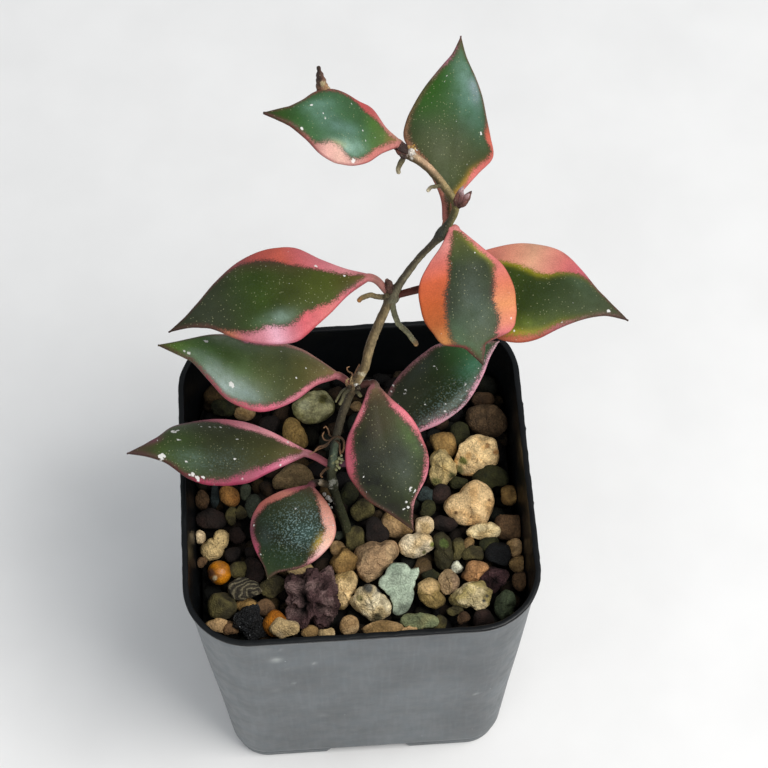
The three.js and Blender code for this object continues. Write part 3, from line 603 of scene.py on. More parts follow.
STONE_FINISHES = {
    "stone_tan": stone_finish("stone_tan", 0.16, 0.85, 0.55),
    "stone_cream": stone_finish("stone_cream", 0.22, 0.88, 0.7),
    "stone_brown": stone_finish("stone_brown", 0.14, 0.85, 0.6),
    "stone_green": stone_finish("stone_green", 0.05, 0.8, 0.4),
    "stone_lava": stone_finish("stone_lava", 0.6, 0.9, 0.9, 0.2, hollow_shade=1.0),
    "charcoal": stone_finish("charcoal", 0.4, 0.5, 0.9, 0.5, hollow_shade=0.6, gleam=0.3),
    "plant_food": stone_finish("plant_food", 0.03, 0.42, 0.15, 0.5),
}

# Each stone's outline in the picture, two colours, and how it is broken. stains
# are place, radius and colour; bands are their middle, spacing and colour.
STONES = {
    "stone_tan_large": dict(
        colours=("f0cc96", "e0b47a"), cuts=5, chip=0.18, rough=0.16,
        stains=[(456, 513, 2.2, "6e5233"), (471, 517, 1.6, "7c5c3a"), (489, 500, 1.8, "8b6a45")],
        outline=[(467.5, 483.5), (475, 480), (484, 482.5), (491, 489.5), (494, 499.5), (493, 509.5),
                 (488.5, 518), (483, 523.5), (474, 524.5), (465.5, 525.5), (456.5, 522), (448.5, 515.5),
                 (444, 508.5), (443.5, 504), (449.5, 497.5), (460, 493)]),
    "stone_tan_mossy": dict(
        colours=("f0ce96", "d6a86a"), cuts=8, chip=0.22, rough=0.3,
        stains=[(463, 461, 5, "74763c"), (459, 469, 6, "7c7748"), (487, 446, 4, "8d6a42"),
                (496, 452, 4, "b98650")],
        outline=[(467.5, 438.5), (476.5, 434), (486.5, 436.5), (495, 441), (498, 449), (500, 457),
                 (496.5, 464), (486.5, 466), (478.5, 471.5), (469.5, 476), (460.5, 475), (455, 470),
                 (454.5, 462.5), (459.5, 451.5)]),
    "stone_tan_angular": dict(
        colours=("cdb47c", "b39558"), cuts=12, chip=0.32, rough=0.3,
        stains=[(435, 482, 6, "706c3c"), (452, 475, 4, "5d5a33")],
        outline=[(441, 448), (445, 451), (448.5, 456), (453, 461), (455, 467.5), (456, 474), (451, 479.5),
                 (442, 485), (435, 486.5), (431, 483), (429.5, 475.5), (432.5, 466.5), (432, 456),
                 (435.5, 452.5)]),
    "stone_tan_flat": dict(
        colours=("dcbd84", "ecd6a4"), cuts=7, chip=0.28, rough=0.14,
        outline=[(478, 523.5), (486.5, 523.5), (495.5, 525.5), (501, 528), (502, 532), (498, 536),
                 (492, 539), (483, 539.5), (475, 538.5), (467.5, 535), (466, 531.5), (470, 527.5)]),
    "stone_pale_front": dict(
        colours=("fae6c0", "e6c896"), cuts=9, chip=0.3, rough=0.22,
        stains=[(433.5, 544.5, 4, "8d8f4a"), (424, 552.5, 3, "7f7c4a")],
        outline=[(411.5, 534), (421.5, 533.5), (428, 535), (435, 544), (434, 548), (426.5, 552.5),
                 (418, 557), (407.5, 557), (401, 553), (398.5, 545.5), (401, 539), (406.5, 535)]),
    "stone_grey_brown": dict(
        colours=("ac8c68", "c0a078"), cuts=12, chip=0.3, rough=0.3,
        outline=[(364, 545), (373, 542), (381, 543), (389, 540), (396, 543.5), (399.5, 549), (397.5, 556),
                 (393, 561), (386.5, 568), (377, 575), (372, 580), (368, 582), (362.5, 580), (358, 574),
                 (355.5, 565), (355.5, 556), (358.5, 549)]),
    "stone_cream_angular": dict(
        colours=("f2e2bc", "d4bc8c"), cuts=14, chip=0.35, rough=0.4,
        stains=[(368, 587.5, 6, "5a5850"), (379, 590, 5, "56524a"), (360, 598, 4, "8a7f55"),
                (377, 618, 5, "6f6749")],
        outline=[(359, 586), (365, 584.5), (371, 585), (377, 588), (382, 593), (386, 598.5), (389.5, 603),
                 (390.5, 609.5), (389.5, 614), (385, 616.5), (381, 620.5), (372, 621), (365, 617),
                 (359, 612.5), (353.5, 607.5), (350.5, 602.5), (354, 594.5)]),
    "stone_green_flake": dict(
        colours=("a8b6a0", "94a68e"), cuts=6, chip=0.1, rough=0.1, flat=0.2, passes=0,
        outline=[(391, 563.5), (406.5, 564.5), (411, 569.5), (418.5, 567.5), (419.5, 571.5), (415, 580),
                 (413, 588.5), (413.5, 598.5), (411, 604), (406.5, 611.5), (397, 615.5), (392, 613),
                 (393, 604.5), (390, 595), (384, 590), (378, 584.5), (380, 578.5), (385, 574.5),
                 (386.5, 569.5)]),
    "stone_lava": dict(
        colours=("5a4242", "8a706c"), cuts=10, chip=0.3, rough=0.5, fold=1.4,
        outline=[(293, 577), (299.5, 575.5), (310, 576), (318, 577), (324.5, 572), (328.5, 574.5),
                 (330, 584), (334, 594.5), (336.5, 604), (331.5, 611.5), (328.5, 621), (320.5, 625),
                 (311.5, 619.5), (306, 623.5), (303.5, 631.5), (298, 626.5), (295.5, 618.5), (293, 604),
                 (295.5, 596), (289, 586.5)]),
    "stone_tan_upright": dict(
        colours=("e2c28c", "c2a268"), cuts=7, chip=0.25, rough=0.16,
        outline=[(346, 572), (354, 571.5), (357, 577), (356, 586.5), (351, 594.5), (348.5, 605),
                 (343, 610.5), (336.5, 609), (332.5, 604), (335, 594.5), (331.5, 585), (334, 577)]),
    "stone_orange_ball": dict(
        colours=("c87c10", "ac680a"), cuts=0, rough=0.03, flat=1.0,
        stains=[(209.5, 574, 6, "5c3c26"), (212.5, 580, 5, "7a5a3c"), (214.5, 578.5, 3, "d4bf98")],
        outline=[(231.5, 572.5), (228, 581), (219.5, 585), (211, 581), (207.5, 572.5), (211, 564),
                 (219.5, 560.5), (228, 564)]),
    "stone_tan_left": dict(
        colours=("d0b47e", "b0945e"), cuts=8, chip=0.25, rough=0.18,
        outline=[(220, 529.5), (226, 530.5), (229.5, 534.5), (228, 543.5), (223.5, 549), (221.5, 556),
                 (214.5, 560), (206.5, 560.5), (202, 555), (200, 548), (205.5, 542.5), (213.5, 538),
                 (215.5, 532)]),
    "stone_striped": dict(
        colours=("38332a", "4a4232"), cuts=8, chip=0.25, rough=0.16, bands=(255, 593, 4.6, "a89c7c"),
        outline=[(233, 580), (241, 577.5), (251.5, 580), (259.5, 585), (263.5, 591), (257, 595), (249, 598),
                 (239.5, 601), (233, 599), (228.5, 593), (229, 586.5)]),
    "stone_charcoal": dict(
        colours=("07080a", "101216"), cuts=12, chip=0.35, rough=0.8, fold=0.7,
        outline=[(243.5, 611), (250.5, 608), (257, 609), (259.5, 615.5), (263, 622.5), (265, 631.5),
                 (262.5, 636.5), (251.5, 637.5), (241, 636.5), (238.5, 629), (240.5, 619.5)]),
    "stone_tan_round": dict(
        colours=("c0a074", "a8865a"), cuts=5, chip=0.15, rough=0.08,
        outline=[(340, 625), (342, 619), (346, 615.5), (351, 615), (356.5, 617.5), (359, 623.5),
                 (358, 630.5), (352.5, 634.5), (346, 635.5), (341, 632.5)]),
    "stone_tan_right": dict(
        colours=("c8a874", "98804c"), cuts=8, chip=0.25, rough=0.2,
        outline=[(426.5, 578.5), (433, 578), (438.5, 582.5), (439.5, 592), (445, 598.5), (443, 605),
                 (437, 610.5), (430.5, 608), (422.5, 602.5), (418.5, 597), (419, 589), (418.5, 583)]),
    "stone_grey_small": dict(
        colours=("9a8064", "ae926c"), cuts=10, chip=0.3, rough=0.2,
        outline=[(446, 570.5), (453, 571.5), (457.5, 576), (460, 582), (458, 588.5), (451.5, 592),
                 (446, 595), (441, 591), (438.5, 584), (440, 576)]),
    "stone_cream_wide": dict(
        colours=("ead6a4", "b4a268"), cuts=12, chip=0.32, rough=0.3,
        stains=[(484, 601, 2.2, "4b4a45"), (487, 596, 1.8, "53504a"), (479, 590, 4, "cbb98d")],
        outline=[(463.5, 586.5), (472.5, 582.5), (482, 583), (485.5, 588.5), (492, 591), (490.5, 598.5),
                 (484.5, 606), (478, 609), (470, 606), (461, 606.5), (453, 605), (450, 599), (455.5, 592)]),
    "stone_orange_brown": dict(
        colours=("b8885a", "a07448"), cuts=8, chip=0.28, rough=0.18,
        outline=[(469, 562), (478, 561), (487.5, 563.5), (489.5, 568), (483.5, 572), (479.5, 577),
                 (475.5, 582), (467.5, 581), (462, 577), (465, 571.5)]),
    "stone_purple": dict(
        colours=("4a3234", "5c4242"), cuts=10, chip=0.3, rough=0.25,
        outline=[(487.5, 570), (498, 568), (504.5, 569.5), (508.5, 574), (505, 580), (499.5, 586.5),
                 (494, 592.5), (486, 591), (480.5, 585), (480, 577)]),
    "stone_green": dict(
        colours=("4c563e", "404a32"), cuts=7, chip=0.25, rough=0.12,
        outline=[(506, 589.5), (512.5, 592), (515, 600), (514, 609), (508.5, 618.5), (502, 620.5),
                 (496.5, 615.5), (493.5, 606.5), (494, 601), (499.5, 594.5)]),
    "stone_olive": dict(
        colours=("34301a", "423c22"), cuts=8, chip=0.28, rough=0.2,
        stains=[(444, 543, 5, "4c5a28")],
        outline=[(437, 533), (442, 531), (447, 535), (450.5, 541), (451.5, 549), (453, 557), (452, 564),
                 (447, 570), (440, 569), (435, 563), (434, 555), (436, 548), (433, 540)]),
    "stone_brown_back": dict(
        colours=("7c6848", "8c7450"), cuts=7, chip=0.22, rough=0.16,
        outline=[(272, 480.5), (278.5, 473.5), (283.5, 469), (290, 464.5), (300.5, 463.5), (307.5, 467.5),
                 (313, 476), (315, 482.5), (308.5, 485.5), (301.5, 486), (295, 487), (283.5, 488.5),
                 (274, 489.5)]),
    "stone_orange_tan": dict(
        colours=("b07c40", "966430"), cuts=5, chip=0.18, rough=0.08,
        outline=[(221.5, 487), (229.5, 486), (236.5, 489.5), (239.5, 496.5), (239, 503.5), (234, 507),
                 (228, 506), (222.5, 502), (219.5, 495.5), (219.5, 490.5)]),
    "stone_ochre": dict(
        colours=("a8884e", "8a7040"), cuts=6, chip=0.2, rough=0.12,
        outline=[(284.5, 423), (287.5, 418.5), (292, 417), (296.5, 420), (300.5, 425.5), (304.5, 432),
                 (307.5, 439), (308, 446), (303.5, 449.5), (295, 447), (287, 441.5), (283.5, 433.5)]),
    "stone_green_tan": dict(
        colours=("a8a478", "807c4c"), cuts=8, chip=0.2, rough=0.25,
        stains=[(305, 405, 6, "a7a682"), (322, 399, 6, "5e5a2c")],
        outline=[(297, 399), (306, 393), (317.5, 391), (327, 394.5), (334, 401), (335.5, 409), (330, 416.5),
                 (321, 422), (312, 424), (302, 420.5), (295, 413), (293.5, 405)]),
    "stone_brown_shade": dict(
        colours=("5a4630", "483622"), cuts=7, chip=0.2, rough=0.2,
        outline=[(467.5, 410), (475, 405.5), (488, 405.5), (499.5, 409), (507, 419), (507, 428),
                 (499.5, 434.5), (489, 438), (478, 434), (469, 428), (466, 419)]),
}

VIEW_AXES = (rightward, upward, toward_eye)
slots = {part["node"]: part["material_slot"] for part in frame["record"]["subparts"]}
placed_stones = []  # middle and radius in plan of each stone, so that others keep clear
for number, (name, stone) in enumerate(STONES.items()):
    low, high = (np.array(corner) / MM - POT_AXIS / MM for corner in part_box(name))
    middle = (low + high) / 2
    outline = seen_on(stone["outline"], middle, toward_eye)
    heart = outline.mean(0)
    reach = smooth_reach(outline, heart, ROCK_COLUMNS, stone.get("passes", 2))
    shape = {key: stone[key] for key in ("cuts", "chip", "rough", "fold", "flat") if key in stone}
    depth = 2 * reach.mean() if not stone["cuts"] else (high - low)[2]
    seed = ROCK_SEED + number
    rings, hollow = lump(heart, VIEW_AXES, reach, depth, seed, rows=ROCK_ROWS, **shape)
    rings = keep_in_pot(rings)
    tint = stone_colours(rings, *stone["colours"], seed, stone.get("stains", ()), bands=stone.get("bands"))
    add_piece(name.replace("stone_", "rock_"), closed_skin(rings), STONE_FINISHES[slots[name]], slots[name],
              [name], tint=with_ends(tint), hollow=with_ends(hollow))
    placed_stones.append((heart, reach.mean()))

# ---------------------------------------------------------- the gravel fill
# A fill of small mixed stones up to 12 mm under the rim: those that show in the
# picture, others strewn where leaves hide them, chips in the gaps, and packed
# grit below, down to the pot's floor, painted near black as the shade deep in
# the gaps.

BED_LEVEL = 65.5
SMALL_LEVEL = 70.4
SMALL_COLUMNS, SMALL_ROWS, SMALL_CHIP = 32, 22, 0.42
STEM_ROOM = 1.6
FULL_TURN = 6.28  # in radians, near enough to turn a stone at random
BED_SHADE = "100d0b"
# The olive, moss, brown, maroon, sage and slate tints are partly the stones' own colours and partly painted
# shade, deepened for small stones that lie low in the gaps.
TINTS = {
    "pale": ("e8cea4", "c4a878"), "tan": ("b8966a", "94764a"), "ochre": ("a4824c", "7e6034"),
    "olive": ("5c5430", "3a341e"), "moss": ("303015", "20220f"), "brown": ("684e34", "463220"),
    "maroon": ("1e1612", "2a1c17"), "sage": ("4c5240", "363c30"), "slate": ("34403e", "262f2f"),
    "leafgreen": ("7c8460", "8c8c62"), "black": ("0c0d0f", "16181a"), "white": ("f4f2e0", "dcdcc4"),
    "ball": ("b46c0e", "98580a"),
}

# Small stones: tint, middle across and down, width and height, in pixels, and for
# one that lies on another how many mm it lies higher.
SMALL_STONES = [
    ("pale", 199.5, 539, 11, 14), ("brown", 202, 562, 10.5, 10.5), ("olive", 239.5, 570, 18.5, 16),
    ("maroon", 234, 555, 16, 13), ("maroon", 251, 553, 11.5, 10.5), ("maroon", 254, 571, 17, 25.5),
    ("olive", 222, 605.5, 24, 27.5), ("ochre", 247.5, 605, 21, 14.5), ("brown", 265.5, 608, 19.5, 16),
    ("ball", 274.5, 624, 24, 24), ("pale", 285, 628, 27.5, 18, 2.6), ("tan", 218, 625.5, 20.5, 12.5),
    ("brown", 229.5, 628.5, 16, 11.5), ("olive", 274, 587.5, 25.5, 19.5),
    ("pale", 301.5, 570.5, 25.5, 12.5), ("tan", 309, 632, 17, 11), ("pale", 326, 633.5, 16, 10),
    ("tan", 382, 628.5, 36.5, 14), ("tan", 409.5, 630.5, 23, 10), ("ochre", 344.5, 562.5, 26.5, 24),
    ("tan", 338.5, 548.5, 16, 15.5), ("olive", 354, 539, 19, 23), ("maroon", 376.5, 533, 23, 27.5),
    ("tan", 397.5, 525, 26.5, 25.5), ("pale", 423.5, 526, 18.5, 19), ("olive", 458.5, 550.5, 14, 20.5),
    ("tan", 468.5, 544, 11, 12.5), ("olive", 472.5, 554, 19.5, 15.5), ("brown", 508.5, 526.5, 28, 25.5),
    ("moss", 489, 545, 20.5, 15), ("black", 500, 554, 25.5, 23), ("tan", 514.5, 547, 15, 18.5),
    ("white", 458, 568, 11, 11), ("moss", 431.5, 575, 16, 10.5), ("tan", 519.5, 564.5, 19, 17),
    ("brown", 522.5, 582, 20, 19), ("olive", 455, 611, 15, 9.5), ("leafgreen", 419.5, 621.5, 31.5, 16),
    ("olive", 440.5, 624.5, 11.5, 17), ("maroon", 482.5, 620, 19.5, 19.5),
    ("brown", 463.5, 618, 11.5, 11.5), ("ochre", 443.5, 444, 24, 26.5), ("moss", 459, 435.5, 18.5, 25.5),
    ("moss", 459, 482, 16, 12.5), ("moss", 490, 478, 32, 23), ("ochre", 510, 495.5, 17, 20),
    ("moss", 427.5, 509, 15, 16), ("maroon", 441, 494, 17, 18.5), ("maroon", 446.5, 523, 23, 16),
    ("slate", 425.5, 494, 18.5, 14), ("moss", 349.5, 496, 17, 24), ("olive", 362.5, 510, 20, 23),
    ("tan", 245.5, 413, 20.5, 15), ("slate", 214.5, 496.5, 8, 23), ("sage", 245.5, 492, 11, 16),
    ("brown", 202, 500, 13, 20), ("sage", 254, 507.5, 17, 24), ("olive", 241, 512.5, 11.5, 14),
    ("olive", 231.5, 516, 11.5, 16), ("maroon", 211, 519.5, 30, 18.5), ("maroon", 269.5, 425.5, 18.5, 18.5),
    ("maroon", 237.5, 535.5, 16, 14), ("sage", 338.5, 535.5, 11.5, 9), ("brown", 483, 400, 20.5, 16),
    ("tan", 356, 406.5, 10.5, 10.5), ("moss", 223.5, 408, 23, 16),
]

fill_skins, fill_tints, fill_hollows = [], [], []


def strew(middle, axes, reach, depth, tint, seed, rows, shade=1.0, **shape):
    """Adds one small stone to the fill."""
    rings, hollow = lump(middle, axes, reach, depth, seed, rows=rows, **shape)
    rings = keep_in_pot(rings)
    fill_skins.append(closed_skin(rings))
    fill_tints.append(with_ends(stone_colours(rings, *TINTS[tint], seed) * shade))
    fill_hollows.append(with_ends(hollow))


def oval(width, height, turn, columns, seed):
    """The reach of an uneven oval at even angles: its half axes, turned, times a
    slow random swell."""
    angle = 2 * np.pi * np.arange(columns) / columns
    reach = 1 / np.hypot(np.cos(angle - turn) / (width / 2), np.sin(angle - turn) / (height / 2))
    swell = grain(np.stack([np.cos(angle), np.sin(angle), 0 * angle], 1) * 1.3 + seed, 1.0, seed)
    return reach * (1 + 0.14 * swell)


random = np.random.default_rng(515)
for number, (tint, x, y, width, height, *lift) in enumerate(SMALL_STONES):
    level = SMALL_LEVEL + random.uniform(-0.5, 0.7) + sum(lift)
    middle = seen_on((x, y), np.array([0, 0, level]), np.array([0, 0, 1]))[0]
    pixel = VIEW_DISTANCE / FOCAL_PIXELS
    reach = oval(width * pixel, height * pixel, 0, SMALL_COLUMNS, 300 + number)
    smooth_one = tint in ("ball", "sage")
    strew(middle, VIEW_AXES, reach, 0.95 * min(width, height) * pixel, tint, 300 + number, SMALL_ROWS,
          cuts=0 if smooth_one else 9, chip=SMALL_CHIP, rough=0.04 if smooth_one else 0.14, whole=False)
    placed_stones.append((middle, reach.mean()))

# Two more layers on loose grids: stones where there is still room on top, and
# smaller ones in the gaps below. Their colours are scaled down by shade, as
# painted shade for stones that lie low. The stem keeps its place.
LAYERS = [
    dict(pitch=5.0, level=68.7, size=(3.2, 5.6), clear=0.8, seed=21, columns=12, rows=7, shade=0.25),
    dict(pitch=3.6, level=66.6, size=(2.8, 4.6), clear=0.0, seed=22, columns=9, rows=5, shade=0.12),
]
COMMON_TINTS = ["brown", "olive", "moss", "maroon", "tan", "brown", "ochre", "sage"]
STEM_FOOT = np.array([-2.4, -7.1])
for layer in LAYERS:
    random = np.random.default_rng(layer["seed"])
    count = int(POT_TOP / 2 / layer["pitch"])
    for row, column in np.ndindex(2 * count + 1, 2 * count + 1):
        jitter = random.uniform(-0.35, 0.35, 2) * layer["pitch"]
        offset = [0.5 * layer["pitch"] * (row % 2 - 0.5), 0]
        spot = (np.array([column, row]) - count) * layer["pitch"] + jitter + offset
        width, height = random.uniform(*layer["size"], 2)
        lift, turn, lean, bend = random.uniform(0, 1, 4)
        tint = COMMON_TINTS[random.integers(len(COMMON_TINTS))]
        middle = np.array([*spot, layer["level"] + 0.8 * (lift - 0.5)])
        radius = (width + height) / 4
        if np.linalg.norm(keep_in_pot(middle, radius) - middle) > 0.5 * radius:
            continue
        if np.linalg.norm(spot - STEM_FOOT) < radius + STEM_ROOM:
            continue
        gaps = [np.linalg.norm(spot - other[:2]) - layer["clear"] * (radius + reach)
                for other, reach in placed_stones]
        if layer["clear"] and min(gaps) < 0:
            continue
        out = unit(np.array([0.5 * (lean - 0.5), 0.5 * (bend - 0.5), 1.0]))
        side = unit(np.cross([0, 1, 0], out))
        reach = oval(width, height, FULL_TURN * turn, layer["columns"], 3)
        seed = int(1000 * lift) + 17 * row + column
        strew(middle, (side, np.cross(out, side), out), reach, 0.8 * min(width, height), tint, seed,
              layer["rows"], layer["shade"], rough=0.1, chip=SMALL_CHIP, whole=False)
        if layer["clear"]:
            placed_stones.append((middle, radius))

# The imported grit: a block under a lumpy top, painted near black as shade.
under, beside, over = 6, 12, 40  # how many rings the block has
heights = np.concatenate([np.full(under, FLOOR_UNDERSIDE + WALL + 0.3),
                          np.linspace(6, BED_LEVEL - 1, beside), np.full(over, BED_LEVEL)])
scales = np.concatenate([np.linspace(0.05, 0.99, under), np.ones(beside), np.linspace(0.99, 0.02, over)])
block = pot_rings(square_columns(24, 10), heights, np.full(len(heights), WALL + 0.35), scales)
block[..., 2] += 0.9 * layered_grain(block, 3.0, 77) * step(BED_LEVEL - 2, BED_LEVEL, block[..., 2])
fill_skins.append(closed_skin(block))
fill_tints.append(np.broadcast_to(paint(BED_SHADE), fill_skins[-1][0].shape))
fill_hollows.append(np.full(len(fill_skins[-1][0]), 0.5))

gravel_finish = stone_finish("gravel_mixed", 0.1, 0.85, 0.5)
add_piece("gravel_fill", joined(fill_skins), gravel_finish, "gravel_mixed", ["gravel_bed"],
          tint=np.concatenate(fill_tints), hollow=np.concatenate(fill_hollows))

# ---------------------------------------------------------------- the stem
# One thin woody green stem that leans back and bends to the left. Its joints
# are thicker and carry air roots, a small scaly bud, the stub of an old stalk,
# dry fibres and lime; it ends in a dry pointed tip.

STEM = [  # place and radius of each stop
    ((-1.6, -8.4, 47), 1), ((-1.9, -8, 60), 1.05), ((-2.4, -7.1, 72), 1.05), ((-5, -2, 84.6), 0.95),
    ((-4.9, -0.5, 90.1), 0.9), ((-2.9, 3.4, 100.9), 0.85), ((0.4, 6.7, 111.4), 0.95),
    ((2.7, 8.2, 115.4), 0.95), ((4.2, 10.6, 120.9), 0.98), ((8.9, 14.7, 132.6), 0.9),
    ((13.9, 17.9, 140.1), 0.68), ((18.9, 19.8, 146.5), 0.7), ((21.7, 22.6, 151.3), 0.72),
    ((19.4, 25.5, 154.7), 0.82), ((16.5, 28.1, 157.3), 0.84), ((12.7, 30.4, 159.3), 0.85),
    ((5.1, 37, 160.6), 0.9), ((-1.9, 40.4, 165.1), 1.5), ((-2.9, 41.4, 169.7), 0.78),
    ((-3.1, 42.3, 171.8), 0.3),
]
JOINTS = {  # and two places between joints that also bear something
    "lowest": (-5, -2, 84.6), "lower": (-4.9, -0.5, 90.1), "middle": (0.4, 6.7, 111.4),
    "upper": (8.9, 14.7, 132.6), "crown": (18.9, 19.8, 146.5), "tip": (12.7, 30.4, 159.3),
    "halfway": (-3.6, 2, 97), "bend": (21.7, 22.6, 151.3),
}
SWELLINGS = {"lowest": 0.3, "lower": 0.3, "middle": 0.4, "upper": 0.7, "crown": 0.5, "tip": 0.3}
SWELLING_REACH = 1.6
STEM_ROWS, STEM_SIDES = 620, 28
DRY_RING, DRY_RINGS = 0.08, 700  # how high in mm, and radians along the whole stem


def smooth_line(stops, count):
    """Evenly spaced points on a smooth curve through the stops: a centripetal
    Catmull-Rom curve, whose knots are spaced by the root of the distances and
    whose slopes at a stop are taken from both its neighbours."""
    stops = np.array(stops, float)
    padded = np.concatenate([[2 * stops[0] - stops[1]], stops, [2 * stops[-1] - stops[-2]]])
    gaps = np.sqrt(np.linalg.norm(np.diff(padded, axis=0), axis=1))[:, None]
    slopes = np.diff(padded, axis=0) / gaps
    both = (padded[2:] - padded[:-2]) / (gaps[:-1] + gaps[1:])
    tangents = slopes[:-1] - both + slopes[1:]
    dots = 60
    share = np.linspace(0, 1, dots, endpoint=False)[:, None, None]
    gap = gaps[1:-1]
    a, b, ta, tb = stops[:-1], stops[1:], tangents[:-1] * gap, tangents[1:] * gap
    curve = ((2 * share**3 - 3 * share**2 + 1) * a + (share**3 - 2 * share**2 + share) * ta
             + (3 * share**2 - 2 * share**3) * b + (share**3 - share**2) * tb)
    dense = np.concatenate([curve.transpose(1, 0, 2).reshape(-1, 3), stops[-1:]])
    run = np.concatenate([[0], np.cumsum(np.linalg.norm(np.diff(dense, axis=0), axis=1))])
    even = np.linspace(0, run[-1], count)
    line = np.stack([np.interp(even, run, dense[:, k]) for k in range(3)], 1)
    return line, np.interp(np.arange(len(stops)) * dots, np.arange(len(run)), run) / run[-1]


def tube(line, radii, sides, seed, knobs=0.0):
    """Rings of a round bar along a line: at each place a circle across the line's
    direction, its radius changed a little by long furrows and, with knobs, by
    lumps."""
    direction = unit(np.gradient(line, axis=0))
    side = unit(np.cross(direction, [0.05, 1.0, 0.1]))
    over = np.cross(direction, side)
    angle = 2 * np.pi * np.arange(sides) / sides
    spokes = np.cos(angle)[:, None] * side[:, None] + np.sin(angle)[:, None] * over[:, None]
    run = np.linspace(0, np.linalg.norm(np.diff(line, axis=0), axis=1).sum(), len(line))
    around = np.stack(np.broadcast_arrays(np.cos(angle) * 2, np.sin(angle) * 2, run[:, None] * 0.16), -1)
    furrows = 0.05 * grain(around, 0.5, seed)
    lumps = knobs * grain(spokes + run[:, None, None] * 0.9, 0.8, seed + 1)
    return line[:, None] + spokes * (np.reshape(radii, (-1, 1)) * (1 + furrows + lumps))[..., None]


stem_line, stem_marks = smooth_line([place for place, radius in STEM], STEM_ROWS)
stem_share = np.linspace(0, 1, len(stem_line))
stem_radii = np.interp(stem_share, stem_marks, [radius for place, radius in STEM])
swell = np.zeros(len(stem_line))
for name, height in SWELLINGS.items():
    away = np.linalg.norm(stem_line - JOINTS[name], axis=1) / SWELLING_REACH
    swell = np.maximum(swell, height * np.exp(-away**2))
dry = step(0.93, 0.96, stem_share)
dry_rings = DRY_RING * dry * np.sin(stem_share * DRY_RINGS)
stem_rings = tube(stem_line, stem_radii + swell + dry_rings, STEM_SIDES, 61)
outward = unit(stem_rings - stem_line[:, None])
stem_rings = stem_rings + 0.06 * grain(stem_rings, 0.7, 63)[..., None] * outward

# Colours up the stem, painted with light and shade: at each stop a colour for
# its shaded side and one for the side that the light reaches. Earthy in the
# gravel, green at the lower joints, tan in the middle, olive above the upper
# joint, pinkish at the top, and dry brown at the tip.
STEM_TINTS = [
    (0, "1c1a12", "2c281b"), (0.2, "262a1c", "44482f"), (0.25, "2b3024", "4c503c"),
    (0.284, "2f3426", "5a5c44"), (0.3, "26362a", "7c8c74"), (0.325, "26342a", "6c7c64"),
    (0.34, "352f22", "5c5444"), (0.41, "332c20", "665c44"), (0.43, "2e261a", "5c4c34"),
    (0.45, "5c4a30", "9a845a"), (0.5, "6a5638", "a48e66"), (0.57, "66543a", "9c8862"),
    (0.586, "463f30", "6c6650"), (0.61, "463c2c", "8e866a"), (0.68, "3e3628", "8a8262"),
    (0.7, "2a2e26", "464a3a"), (0.715, "34341f", "6e6a40"), (0.74, "585028", "a09460"),
    (0.775, "5a4c2a", "ac9468"), (0.8, "5a482c", "cca684"), (0.826, "54442e", "b89c7c"),
    (0.84, "38281f", "6e5844"), (0.9, "6a5c3c", "93805a"), (0.95, "8c7650", "c4ac80"),
    (0.972, "6e4e3a", "a07c58"), (0.985, "3f2a24", "6e4a3c"), (1, "2e201c", "4c322a"),
]


def shades_along(share, tints):
    """Colours along a share from 0 to 1, mixed between the listed ones."""
    stops = [stop for stop, code in tints]
    codes = np.array([paint(code) for stop, code in tints])
    return np.stack([np.interp(share, stops, codes[:, k]) for k in range(3)], -1)


# Crusts on the stem and its roots: lime, pale fibre and crumbly scars, each at a
# place in the picture with a radius in pixels.
CRUSTS = [
    (339.5, 461, 7, "cfcb94"), (338, 468, 4, "c4c096"), (333, 483.5, 4.5, "c6c4b4"),
    (328, 500, 6, "dedad2"), (364, 374, 4.5, "dccfae"), (362, 381, 4, "d4c6a2"),
    (356.5, 384.8, 2, "eeeae0"), (350, 381, 4, "b09468"), (411.6, 152.5, 4.5, "e6dccf"),
    (392, 300, 5, "7c7a60"), (334, 89, 5, "d2bc94"), (322, 84, 4, "c8b48a"),
]


def crusted(points, colours, seed):
    """Colours with the crusts over them: each covers its place where the noise is
    high, and thins out from its middle."""
    pixels = shown_at(points)
    noise = layered_grain(points, 0.8, seed)
    for x, y, radius, code in CRUSTS:
        away = np.linalg.norm(pixels - [x, y], axis=-1) / radius
        share = (0.9 * step(-0.15, 0.35, noise + 0.7 - away))[..., None]
        colours = colours * (1 - share) + paint(code) * share
    return colours


# Painted light and shade: each ring takes the lit colour on the side that faces the light and the shaded
# colour on the other.
spokes = unit(stem_rings - stem_line[:, None])
lit_tilt = np.interp(stem_share, [0.6, 0.75], [-0.6, 0.8])[:, None]
lit_way = unit(rightward + lit_tilt * upward)
lit = step(-0.5, 0.45, (spokes * lit_way[:, None]).sum(-1))[..., None]
shaded_tint, lit_tint = (shades_along(stem_share, [(stop[0], stop[k]) for stop in STEM_TINTS])[:, None]
                for k in (1, 2))
stem_tint = (shaded_tint * (1 - lit) + lit_tint * lit) * (1 + 0.3 * layered_grain(stem_rings, 1.6, 65))[..., None]
stem_skins, stem_tints = [closed_skin(stem_rings)], [with_ends(crusted(stem_rings, stem_tint, 67))]


def branch(stops, start, end, tints, seed, bulge=0.0, count=60, sides=14, knobs=0.06):
    """Adds a side branch to the stem, coloured along its length. Its radius goes
    from start to end, plus bulge * sin(pi * share), and its end is round."""
    line, marks = smooth_line(stops, count)
    share = np.linspace(0, 1, count)
    length = np.linalg.norm(np.diff(line, axis=0), axis=1).sum()
    cap = np.clip(1 - (1 - share) * length / end, 0, 1)
    radii = (start + (end - start) * share + bulge * np.sin(np.pi * share)) * np.sqrt(1 - 0.97 * cap**2)
    rings = tube(line, radii, sides, seed, knobs)
    stem_skins.append(closed_skin(rings))
    colours = np.repeat(shades_along(share, tints)[:, None], sides, 1)
    colours = colours * (1 + 0.25 * layered_grain(rings, 0.9, seed))[..., None]
    stem_tints.append(with_ends(crusted(rings, colours, seed)))


